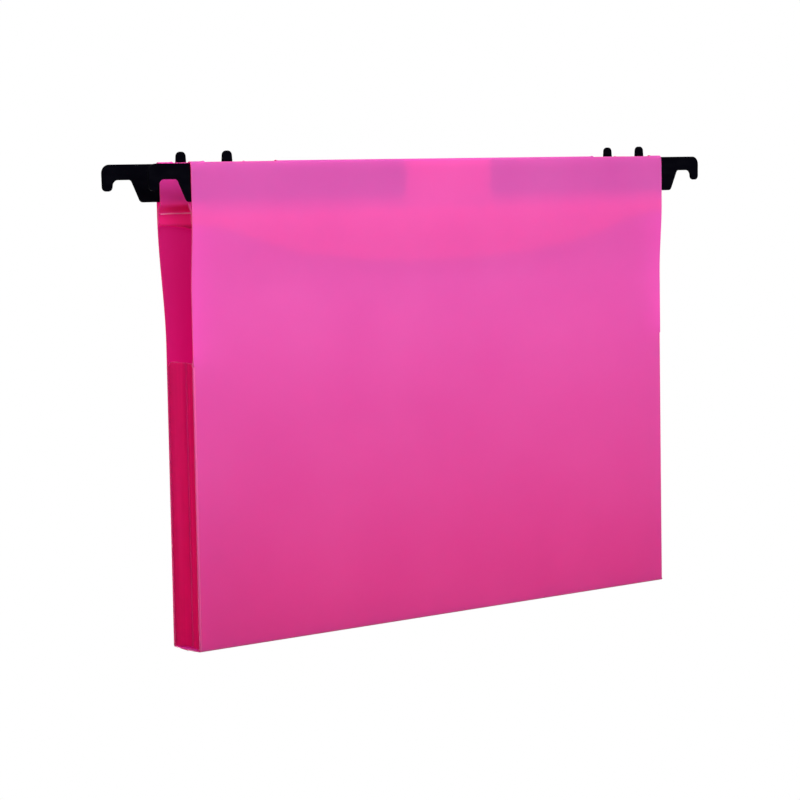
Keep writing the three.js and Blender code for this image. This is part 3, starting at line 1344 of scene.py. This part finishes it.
    def build(self) -> bpy.types.Object:
        """Builds the sheet.

        Returns:
            The new object.
        """
        path = self.path()
        half = self.sizes.half_width
        origin = Vector((0.0, self.wall.outer, 0.0))
        lay = RolledLay(origin, X_AXIS, Y_AXIS * self.wall.inward, Z_AXIS, path, self._spring(path))
        columns = spaced(-half, half, self.column_steps)
        for end in (self.slot_outer_end, self.slot_inner_end):
            for step in self.slot_end_columns:
                columns += [end + step - half, half - end - step]
        piece = CutSheet(
            f"{self.wall.name}_wall_sheet",
            lay,
            self._outline(path),
            self.sizes.sheet,
            self.sizes.edge_radius,
            self._slots(path),
            path.lengths,
            columns,
        ).build()
        for face in piece.data.polygons:
            if face.material_index == FACE_MARK and self._on_flap(face.center / METRES_PER_MM):
                face.material_index = FLAP_MARK
        return piece

    def _on_flap(self, place: Vector) -> bool:
        """Tells whether a place of the sheet is on the flap, below the weld.

        Args:
            place: The place in millimetres.

        Returns:
            True on the flap.
        """
        s = self.sizes
        inset = (place.y - self.wall.outer) * self.wall.inward
        panel = self.wall.inset_at(place.z, s) + s.sheet + self.lip_gap / 2
        return place.z < s.weld_level and inset > panel

    def dress(self, piece: bpy.types.Object, finishes: Finishes) -> None:
        """Gives the sheet its finish, its body and the solids it stands for.

        Args:
            piece: The sheet's object.
            finishes: The shared materials.
        """
        dressed(piece, Slot.SHEET, finishes.panel, finishes.cut, finishes.flap)
        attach(piece, self.wall.name)
        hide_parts(f"{self.wall.name}_panel", f"{self.wall.name}_hem_flap")


@dataclass
class WeldSeam:
    """The slightly lumpy bead along the line where the hem is welded to its panel."""

    wall: Wall
    sizes: PocketSizes
    sheet: WallSheet
    half_height: float = 0.42
    end_height_share: float = 0.6
    rise: float = 0.2
    sunk: float = 0.08
    end_gap: float = 0.3
    end_fade: float = 1.5
    steps: int = 230
    steps_across: int = 8
    lumps: tuple[Triple, ...] = ((0.3, 0.61, 1.3), (0.28, 1.37, 0.0), (0.2, 2.9, 0.4))
    wanders: tuple[Triple, ...] = ((0.25, 0.083, 0.0), (0.12, 0.31, 2.0))

    @staticmethod
    def _waves(x: float, waves: Sequence[Triple], level: float) -> float:
        """Adds up waves.

        Args:
            x: Place across the width.
            waves: Each wave's height, its angle per millimetre and its angle at the middle.
            level: The level that the waves lie on.

        Returns:
            The height at that place.
        """
        return sum((high * math.sin(x * rate + start) for high, rate, start in waves), start=level)

    def build(self) -> bpy.types.Object:
        """Builds the bead.

        Returns:
            The new object.
        """
        s = self.sizes
        end = s.half_width - self.end_gap
        face = self.sheet.inner_inset(s.weld_level) + s.sheet / 2
        points: list[Vector] = []
        for x in spaced(-end, end, self.steps):
            fade = max(min((end - abs(x)) / self.end_fade, 1.0), 0.0) ** 0.5
            rise = self.rise * self._waves(x, self.lumps, 1.0) * fade
            level = s.weld_level + self._waves(x, self.wanders, 0.0)
            half_height = self.half_height * (self.end_height_share + (1 - self.end_height_share) * fade)
            for step in range(self.steps_across + 1):
                angle = math.pi * step / self.steps_across
                depth = self.wall.depth(face + rise * math.sin(angle) - self.sunk)
                points.append(Vector((x, depth, level + half_height * math.cos(angle))))
        faces: list[list[int]] = []
        row = self.steps_across + 1
        for index in range(self.steps):
            for step in range(row):
                a, b = index * row + step, index * row + (step + 1) % row
                quad = [a, b, b + row, a + row]
                faces.append(quad if self.wall.inward > 0 else quad[::-1])
        first, last = list(range(row)), list(range(self.steps * row, (self.steps + 1) * row))
        faces.append(first[::-1] if self.wall.inward > 0 else first)
        faces.append(last if self.wall.inward > 0 else last[::-1])
        return mesh_object(f"{self.wall.name}_weld_bead", points, faces, None)

    def dress(self, piece: bpy.types.Object, finishes: Finishes) -> None:
        """Gives the bead its finish and its body."""
        dressed(piece, Slot.SHEET, finishes.seam)
        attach(piece, self.wall.name)


@dataclass
class Crease:
    """A living hinge: the narrow bent strip of sheet between two flat fields."""

    name: str
    sizes: PocketSizes
    lay: RolledLay
    ends: tuple[float, float]
    bodies: tuple[str, str] | str
    in_painted_shade: bool = False
    column_run: float = 15.0

    def build(self) -> bpy.types.Object:
        """Builds the bent strip.

        Returns:
            The new object.
        """
        seam = self.sizes.edge_radius
        low, high = self.ends
        length = self.lay.path.length
        outline = [(low, -seam), (high, -seam), (high, length + seam), (low, length + seam)]
        steps = max(2, round((high - low) / self.column_run))
        return CutSheet(
            self.name,
            self.lay,
            outline,
            self.sizes.sheet,
            seam,
            (),
            self.lay.path.lengths,
            spaced(low, high, steps),
        ).build()

    def build_and_dress(self, finishes: Finishes) -> bpy.types.Object:
        """Builds the strip and dresses it.

        Args:
            finishes: The shared materials.

        Returns:
            The new object.
        """
        piece = self.build()
        # creases in the gussets get painted shade and highlight, the others a painted highlight
        dressed(piece, Slot.SHEET, finishes.gusset_crease if self.in_painted_shade else finishes.crease, finishes.cut)
        if isinstance(self.bodies, str):
            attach(piece, self.bodies)
            return piece
        middle = sum(self.ends) / 2
        start = self.lay.at(middle, 0.0).point * METRES_PER_MM
        end = self.lay.at(middle, self.lay.path.length).point * METRES_PER_MM
        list(self.bodies)
        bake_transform(piece)
        return piece


@dataclass
class Gusset:
    """One side of the pocket: a weld tab, two strips folded in, and the creases between them."""

    side: Side
    sizes: PocketSizes
    front_face: float = -14.3
    back_inner_face: float = 10.4
    front_axis: float = -13.4
    rear_axis: float = 9.2
    tab_width: float = 8.0
    tab_lift: float = 0.02
    tab_foot_radius: float = 0.5
    tab_edge_radius: float = 0.2
    tab_top_radius: float = 1.5
    corner_radius: float = 0.6
    crest_radius: float = 0.8
    crest_lead: float = 0.35
    crease_gap: float = 0.1
    row_steps: int = 10

    @property
    def label(self) -> str:
        """The side's name."""
        return self.side.name.lower()

    @property
    def axis_x(self) -> float:
        """X of both wall axes."""
        return self.side.value * (self.sizes.half_width - self.sizes.sheet)

    def _strip_line(self, rear: bool) -> tuple[Vector, Vector]:
        """Gives the line of a strip's middle, seen from above.

        Args:
            rear: True for the rear strip, False for the front one.

        Returns:
            The point of the line at the strip's wall axis, and its direction away from the wall.
        """
        s = self.side.value
        sine, cosine = math.sin(self.sizes.gusset_angle), math.cos(self.sizes.gusset_angle)
        forward = -1.0 if rear else 1.0
        outward = Vector((s * cosine, forward * sine))
        axis = Vector((self.axis_x, self.rear_axis if rear else self.front_axis))
        return axis + outward * (self.sizes.sheet / 2), Vector((-s * sine, forward * cosine))

    def _wall_line(self, rear: bool) -> tuple[Vector, Vector]:
        """Gives the line of the front panel's middle, or of the weld tab's, seen from above.

        Args:
            rear: True for the weld tab, False for the front panel.

        Returns:
            A point of the line, and its direction towards the side.
        """
        own = self.sizes.sheet / 2
        depth = self.back_inner_face - self.tab_lift - own if rear else self.front_face + own
        return Vector((0.0, depth)), Vector((float(self.side.value), 0.0))

    def _corner(self, rear: bool) -> Path:
        """Draws the bend from the wall into a strip.

        Args:
            rear: True for the rear strip, False for the front one.

        Returns:
            The line of the bend, seen from above.
        """
        wall_point, wall_heading = self._wall_line(rear)
        strip_point, strip_heading = self._strip_line(rear)
        return creased_path(wall_point, wall_heading, strip_point, strip_heading, self.corner_radius)

    def _crest(self) -> Path:
        """Draws the bend from the rear strip into the front one.

        Returns:
            The line of the bend, seen from above.
        """
        rear_point, rear_heading = self._strip_line(True)
        front_point, front_heading = self._strip_line(False)
        return creased_path(
            rear_point, rear_heading, front_point, -front_heading, self.crest_radius, self.crest_lead
        )

    @property
    def wall_trim(self) -> float:
        """How far short of the side edge the front panel stops, to leave room for the bend."""
        return self.sizes.half_width - abs(self._corner(False).points[0].x)

    def _upright(self, path: Path) -> RolledLay:
        """Lays sheet on an upright surface over a line seen from above."""
        return RolledLay(Vector(), Z_AXIS, X_AXIS, Y_AXIS, path)

    def strip(self, rear: bool) -> CutSheet:
        """Describes one strip.

        Args:
            rear: True for the rear strip, False for the front one.

        Returns:
            The strip's cut sheet.
        """
        s = self.sizes
        point, heading = self._strip_line(rear)
        corner, crest = self._corner(rear), self._crest()
        start = (corner.points[-1] - point).dot(heading) - s.edge_radius
        crest_end = crest.points[0] if rear else crest.points[-1]
        end = (crest_end - point).dot(heading) + s.edge_radius
        cut = s.gusset_corner_cut
        outline = [
            (start, s.foot_level),
            (end, s.foot_level),
            (end, s.gusset_top),
            (start + cut, s.gusset_top),
            (start, s.gusset_top - cut),
        ]
        lay = FlatLay(Vector((point.x, point.y, 0.0)), Vector((heading.x, heading.y, 0.0)), Z_AXIS)
        place = "rear" if rear else "front"
        return CutSheet(
            f"{self.label}_gusset_{place}_sheet", lay, outline, s.sheet, s.edge_radius,
            rows=spaced(s.foot_level, s.gusset_top, self.row_steps),
        )

    def tab(self) -> CutSheet:
        """Describes the weld tab.

        Returns:
            The tab's cut sheet.
        """
        s = self.sizes
        point, heading = self._wall_line(True)
        end = abs(self._corner(True).points[0].x) + s.edge_radius
        start = s.half_width - self.tab_width
        outline = rounded_outline(
            [
                (start, s.foot_level, self.tab_foot_radius),
                (end, s.foot_level, self.tab_edge_radius),
                (end, s.gusset_top - s.gusset_corner_cut, self.tab_edge_radius),
                (end - s.gusset_corner_cut, s.gusset_top, self.tab_edge_radius),
                (start, s.gusset_top, self.tab_top_radius),
            ]
        )
        lay = FlatLay(Vector((0.0, point.y, 0.0)), Vector((heading.x, 0.0, 0.0)), Z_AXIS)
        return CutSheet(f"{self.label}_gusset_tab_sheet", lay, outline, s.sheet, s.edge_radius)

    def creases(self) -> list[Crease]:
        """Describes the three upright creases.

        Only the left front crease is given two bodies. The right one rides on the front panel, because the
        loop of fields is open there.

        Returns:
            The front, rear and middle crease.
        """
        s, gusset = self.sizes, f"{self.label}_gusset"
        rear, front = f"{gusset}_rear", f"{gusset}_front"
        whole = (s.foot_level, s.gusset_top)
        ends = (s.foot_level + self.crease_gap, s.gusset_top - s.gusset_corner_cut)
        front_path, front_bodies = self._corner(False), "front"
        if self.side is Side.LEFT:
            turned = Path(front_path.points[-1], -front_path.headings[-1])
            turned.arc(self.corner_radius, -self._turn(front_path), len(front_path.points) - 1)
            front_path, front_bodies = turned, (front, "front")
        rear_lay, crest_lay = self._upright(self._corner(True)), self._upright(self._crest())
        return [
            Crease(f"{front}_crease", s, self._upright(front_path), ends, front_bodies),
            Crease(f"{rear}_crease", s, rear_lay, ends, ("back", rear), in_painted_shade=True),
            Crease(f"{gusset}_crest_crease", s, crest_lay, whole, (rear, front), in_painted_shade=True),
        ]

    @staticmethod
    def _turn(path: Path) -> float:
        """The angle that a bend turns through, positive to the left."""
        first, last = path.headings[0], path.headings[-1]
        return math.atan2(first.cross(last), first.dot(last))

    def build_and_dress(self, finishes: Finishes) -> list[bpy.types.Object]:
        """Builds and dresses the gusset's pieces.

        Args:
            finishes: The shared materials.

        Returns:
            The new objects.
        """
        pieces: list[bpy.types.Object] = []
        for place in ("rear", "front"):
            body = f"{self.label}_gusset_{place}"
            strip = self.strip(place == "rear")
            pieces.append(flat_field(strip, finishes.gusset, finishes.cut, body, f"{body}_strip"))
        solid = f"{self.label}_gusset_weld_tab"
        pieces.append(flat_field(self.tab(), finishes.panel, finishes.cut, "back", solid))
        return pieces + [crease.build_and_dress(finishes) for crease in self.creases()]


@dataclass
class Base:
    """The pocket's bottom: two half strips that sag a little, and the three creases along them."""

    sizes: PocketSizes
    front_axis: float = -14.0
    rear_axis: float = 10.7
    edge_bend: float = 0.7
    centre_bend: float = 6.0
    centre_lead: float = 0.35
    column_steps: int = 16

    def _strip_line(self, rear: bool) -> tuple[Vector, Vector]:
        """Gives the line of a half strip's middle, seen from the side.

        Args:
            rear: True for the rear half, False for the front one.

        Returns:
            The point of the line at the outer crease, and its direction towards the middle.
        """
        s = self.sizes
        forward = -1.0 if rear else 1.0
        axis = Vector((self.rear_axis if rear else self.front_axis, s.base_level + s.sheet / 2))
        return axis, Vector((forward * math.cos(s.base_angle), -math.sin(s.base_angle)))

    def edge_path(self, rear: bool) -> Path:
        """Draws the bend from a panel's foot into its half of the base.

        Args:
            rear: True for the rear half, False for the front one.

        Returns:
            The line of the bend, seen from the side.
        """
        point, heading = self._strip_line(rear)
        down = Vector((0.0, -1.0))
        return creased_path(Vector((point.x, 0.0)), down, point, heading, self.edge_bend)

    def centre_path(self) -> Path:
        """Draws the slight bend along the middle.

        Returns:
            The line of the bend, seen from the side.
        """
        rear_point, rear_heading = self._strip_line(True)
        front_point, front_heading = self._strip_line(False)
        return creased_path(
            rear_point, rear_heading, front_point, -front_heading, self.centre_bend, self.centre_lead
        )

    @property
    def foot_trim(self) -> float:
        """How far above the panels' common foot level the bend starts."""
        return self.edge_path(True).points[0].y - self.sizes.foot_level

    def _level(self, path: Path) -> RolledLay:
        """Lays sheet on a surface over a line seen from the side."""
        return RolledLay(Vector(), X_AXIS, Y_AXIS, Z_AXIS, path)

    def strip(self, rear: bool) -> CutSheet:
        """Describes one half strip.

        Args:
            rear: True for the rear half, False for the front one.

        Returns:
            The strip's cut sheet.
        """
        s = self.sizes
        point, heading = self._strip_line(rear)
        centre = self.centre_path()
        start = (self.edge_path(rear).points[-1] - point).dot(heading) - s.edge_radius
        centre_end = centre.points[0] if rear else centre.points[-1]
        end = (centre_end - point).dot(heading) + s.edge_radius
        half = s.half_width
        outline = [(-half, start), (half, start), (half, end), (-half, end)]
        lay = FlatLay(Vector((0.0, point.x, point.y)), X_AXIS, Vector((0.0, heading.x, heading.y)))
        return CutSheet(
            f"base_{'back' if rear else 'front'}_sheet", lay, outline, s.sheet, s.edge_radius,
            columns=spaced(-half, half, self.column_steps),
        )

    def creases(self) -> list[Crease]:
        """Describes the three creases along the base.

        Returns:
            The back, centre and front crease. The front one has no hinge and rides on the front.
        """
        s = self.sizes
        ends = (-s.half_width, s.half_width)
        places = {
            "back": (self.edge_path(True), ("back", "base_back")),
            "centre": (self.centre_path(), ("base_back", "base_front")),
            "front": (self.edge_path(False), "front"),
        }
        return [
            Crease(f"base_{place}_crease_strip", s, self._level(path), ends, bodies)
            for place, (path, bodies) in places.items()
        ]

    def build_and_dress(self, finishes: Finishes) -> list[bpy.types.Object]:
        """Builds and dresses the base's pieces.

        Args:
            finishes: The shared materials.

        Returns:
            The new objects.
        """
        pieces: list[bpy.types.Object] = []
        for body in ("base_back", "base_front"):
            strip = self.strip(body == "base_back")
            pieces.append(flat_field(strip, finishes.panel, finishes.cut, body, f"{body}_strip"))
        return pieces + [crease.build_and_dress(finishes) for crease in self.creases()]


@dataclass
class HookBar:
    """A flat moulded bar that slides in a sleeve, with a hook at its end and a finger peg on top."""

    wall: Wall
    side: Side
    reach: float
    sizes: PocketSizes
    length: float = 170.0
    thickness: float = 1.8
    edge_radius: float = 0.3
    top: float = 8.25
    top_radius: float = 4.7
    foot: float = -11.95
    foot_radius: float = 2.4
    tip_foot: float = -5.85
    tip_taper: float = 0.25
    tip_width: float = 5.9
    tip_radius: float = 2.5
    seat_start: float = 6.6
    seat_start_radius: float = 3.2
    seat_end: float = 18.3
    seat_end_radius: float = 2.0
    shoulder_foot: float = 24.0
    inner_foot_radius: float = 3.2
    inner_top_radius: float = 1.0
    peg_centre: float = 50.0
    peg_rise: float = 6.4
    peg_foot_half: float = 3.15
    peg_foot_radius: float = 0.6
    peg_top_half: float = 2.7
    peg_top_radius: float = 2.62

    @property
    def label(self) -> str:
        """The bar's name, by wall and side."""
        return f"{self.wall.name}_{self.side.name.lower()}"

    def _corners(self) -> list[tuple[float, float, float]]:
        """Lists the corners of the outline.

        Returns:
            Each corner's distance inward from the tip, its height and its radius.
        """
        peg_top = self.top + self.peg_rise
        return [
            (0.0, self.top, self.top_radius),
            (self.tip_taper, self.tip_foot, self.tip_radius),
            (self.tip_width, self.tip_foot, self.tip_radius),
            (self.seat_start, 0.0, self.seat_start_radius),
            (self.seat_end, 0.0, self.seat_end_radius),
            (self.shoulder_foot, self.foot, self.foot_radius),
            (self.length, self.foot, self.inner_foot_radius),
            (self.length, self.top, self.inner_top_radius),
            (self.peg_centre + self.peg_foot_half, self.top, self.peg_foot_radius),
            (self.peg_centre + self.peg_top_half, peg_top, self.peg_top_radius),
            (self.peg_centre - self.peg_top_half, peg_top, self.peg_top_radius),
            (self.peg_centre - self.peg_foot_half, self.top, self.peg_foot_radius),
        ]

    def build(self) -> bpy.types.Object:
        """Builds the bar.

        Returns:
            The new object.
        """
        sign, s = self.side.value, self.sizes
        origin = Vector((sign * (s.half_width + self.reach), self.wall.depth(s.sleeve_half), 0.0))
        lay = FlatLay(origin, X_AXIS * -sign, Z_AXIS)
        outline = rounded_outline(self._corners())
        return CutSheet(f"{self.label}_bar", lay, outline, self.thickness, self.edge_radius).build()

    def dress(self, piece: bpy.types.Object, finishes: Finishes) -> None:
        """Gives the bar its finish, its body and the solid it stands for.

        Args:
            piece: The bar's object.
            finishes: The shared materials.
        """
        dressed(piece, Slot.BAR, finishes.bar, finishes.bar)
        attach(piece, f"{self.label}_bar")
        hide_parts(f"{self.label}_hook_bar")


# Studio


@dataclass(frozen=True)
class Viewpoint:
    """The camera, as worked out from the photograph. Angles are in degrees, and its place in metres."""

    place: Triple = (-0.933879, -1.125791, -0.000366)
    yaw: float = 39.02293
    pitch: float = 5.00519
    roll: float = -1.03034
    lens: float = 115.1417
    sensor: float = 36.0
    nearest: float = 0.05
    farthest: float = 50.0

    def build(self) -> bpy.types.Object:
        """Makes the scene's camera.

        Returns:
            The camera object.
        """
        yaw, pitch, roll = (math.radians(angle) for angle in (self.yaw, self.pitch, self.roll))
        ahead = Vector((math.sin(yaw) * math.cos(pitch), math.cos(yaw) * math.cos(pitch), -math.sin(pitch)))
        level = Vector((math.cos(yaw), -math.sin(yaw), 0.0))
        upright = level.cross(ahead)
        right = level * math.cos(roll) + upright * math.sin(roll)
        up = upright * math.cos(roll) - level * math.sin(roll)
        data = bpy.data.cameras.new("photo_camera")
        data.sensor_fit = "HORIZONTAL"
        data.sensor_width = self.sensor
        data.lens = self.lens
        data.clip_start, data.clip_end = self.nearest, self.farthest
        camera = bpy.data.objects.new("photo_camera", data)
        turn = Matrix((right, up, -ahead)).transposed()
        camera.matrix_world = Matrix.Translation(self.place) @ turn.to_4x4()
        bpy.context.scene.collection.objects.link(camera)
        bpy.context.scene.camera = camera
        return camera


@dataclass(frozen=True)
class Lamp:
    """A soft rectangular lamp that looks at a point. Places and sizes are in metres, angles in degrees."""

    name: str
    place: Triple
    target: Triple
    size: tuple[float, float]
    power: float
    spread: float = 180.0

    def build(self) -> bpy.types.Object:
        """Makes the lamp.

        Returns:
            The lamp object.
        """
        data = bpy.data.lights.new(self.name, "AREA")
        data.shape = "RECTANGLE"
        data.size, data.size_y = self.size
        data.energy = self.power
        data.spread = math.radians(self.spread)
        lamp = bpy.data.objects.new(self.name, data)
        lamp.location = self.place
        aim = Vector(self.target) - Vector(self.place)
        lamp.rotation_euler = aim.to_track_quat("-Z", "Y").to_euler()
        lamp.visible_camera = False
        bpy.context.scene.collection.objects.link(lamp)
        return lamp


@dataclass(frozen=True)
class Studio:
    """A pale floor under the hanging pocket, an even white surround and soft lamps, in metres.

    Near the pocket the floor keeps a share of its own look, and from there on it fades to white.
    """

    floor_level: float = -0.7
    floor_half: float = 6.0
    floor_shades: tuple[float, float] = (0.80, 0.84)
    floor_patch: float = 300.0
    floor_detail: float = 3.0
    floor_roughness: float = 0.9
    fade_span: tuple[float, float] = (0.4, 1.1)
    fade_shares: tuple[float, float] = (0.8, 1.0)
    surround: float = 0.04
    lamps: tuple[Lamp, ...] = (
        Lamp("key_lamp", (-0.03, -0.32, 0.08), (0.0, 0.0, -0.135), (0.9, 0.2), 1.2, 90.0),
        Lamp("high_lamp", (-0.05, -0.18, 0.38), (0.0, 0.0, 0.0), (0.9, 0.25), 2.6),
        Lamp("back_lamp", (0.0, 0.9, -0.12), (0.0, 0.0, -0.12), (1.3, 0.5), 3.0),
        Lamp("low_lamp", (0.0, 0.42, -0.30), (0.0, 0.0, -0.25), (1.0, 0.15), 2.8),
    )

    def _floor_material(self) -> bpy.types.Material:
        """Builds the floor's material.

        Returns:
            The material: pale, with soft shadow near the pocket, and white far off.
        """
        sketch = NodeSketch("pale_floor")
        shades = ((grey, grey, grey, 1.0) for grey in self.floor_shades)
        shade = sketch.mixed(sketch.noise(self.floor_patch, self.floor_detail), *shades)
        skin = sketch.node("BsdfPrincipled", {"Base Color": shade, "Roughness": self.floor_roughness})
        glow = sketch.node("Emission", {"Color": WHITE, "Strength": 1.0})
        length = sketch.node("VectorMath", {0: sketch.coordinates})
        length.operation = "LENGTH"
        far = sketch.ramp(length.outputs["Value"], *self.fade_span, *self.fade_shares)
        seen = sketch.node("LightPath").outputs["Is Camera Ray"]
        return sketch.finish(sketch.blend(sketch.calculate("MULTIPLY", far, seen), skin, glow))

    def _build_floor(self) -> None:
        """Makes the floor."""
        half = self.floor_half / METRES_PER_MM
        corners = [Vector((x * half, y * half, 0.0)) for x, y in ((-1, -1), (1, -1), (1, 1), (-1, 1))]
        floor = mesh_object("studio_floor", corners, [[0, 1, 2, 3]], None)
        floor.location.z = self.floor_level
        floor.data.materials.append(self._floor_material())

    def _build_world(self) -> None:
        """Makes the surround: white where it is seen, and dimmer where it only lights."""
        world = bpy.data.worlds.new("studio_surround")
        bpy.context.scene.world = world
        world.use_nodes = True
        tree = world.node_tree
        tree.nodes.clear()
        path = tree.nodes.new("ShaderNodeLightPath")
        seen = path.outputs["Is Camera Ray"]
        for label in ("Is Glossy Ray", "Is Transmission Ray"):
            wider = tree.nodes.new("ShaderNodeMath")
            wider.operation = "MAXIMUM"
            tree.links.new(seen, wider.inputs[0])
            tree.links.new(path.outputs[label], wider.inputs[1])
            seen = wider.outputs[0]
        strength = tree.nodes.new("ShaderNodeMapRange")
        strength.inputs["To Min"].default_value = self.surround
        strength.inputs["To Max"].default_value = 1.0
        tree.links.new(seen, strength.inputs["Value"])
        background = tree.nodes.new("ShaderNodeBackground")
        background.inputs["Color"].default_value = WHITE
        tree.links.new(strength.outputs["Result"], background.inputs["Strength"])
        output = tree.nodes.new("ShaderNodeOutputWorld")
        tree.links.new(background.outputs[0], output.inputs["Surface"])

    def build(self) -> None:
        """Makes the floor, the surround, the lamps and the camera."""
        self._build_floor()
        self._build_world()
        for lamp in self.lamps:
            lamp.build()
        Viewpoint().build()
        bpy.context.scene.view_settings.view_transform = "Standard"


# How far each hook bar is drawn out past the side of the pocket
REACHES = {
    (FRONT, Side.LEFT): 25.7,
    (FRONT, Side.RIGHT): 32.7,
    (BACK, Side.LEFT): 35.1,
    (BACK, Side.RIGHT): 34.8,
}


def report(piece: bpy.types.Object) -> None:
    """Reports a finished piece."""
    LOG.info("built %s, %d faces", piece.name, len(piece.data.polygons))


def main() -> None:
    """Builds the pocket's pieces in order, then the studio round them."""
    logging.basicConfig(level=logging.INFO, format="%(name)s: %(message)s")
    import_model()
    sizes = PocketSizes()
    finishes = Finishes()
    gussets = [Gusset(side, sizes) for side in Side]
    base = Base(sizes)
    for wall in (FRONT, BACK):
        notch = gussets[0].wall_trim if wall is FRONT else 0.0
        sheet = WallSheet(wall, sizes, foot_trim=base.foot_trim, notch=notch)
        for part in (sheet, WeldSeam(wall, sizes, sheet)):
            piece = part.build()
            part.dress(piece, finishes)
            report(piece)
    for assembly in (*gussets, base):
        for piece in assembly.build_and_dress(finishes):
            report(piece)
    for (wall, side), reach in REACHES.items():
        bar = HookBar(wall, side, reach, sizes)
        piece = bar.build()
        bar.dress(piece, finishes)
        report(piece)
    Studio().build()


if __name__ == "__main__":
    main()
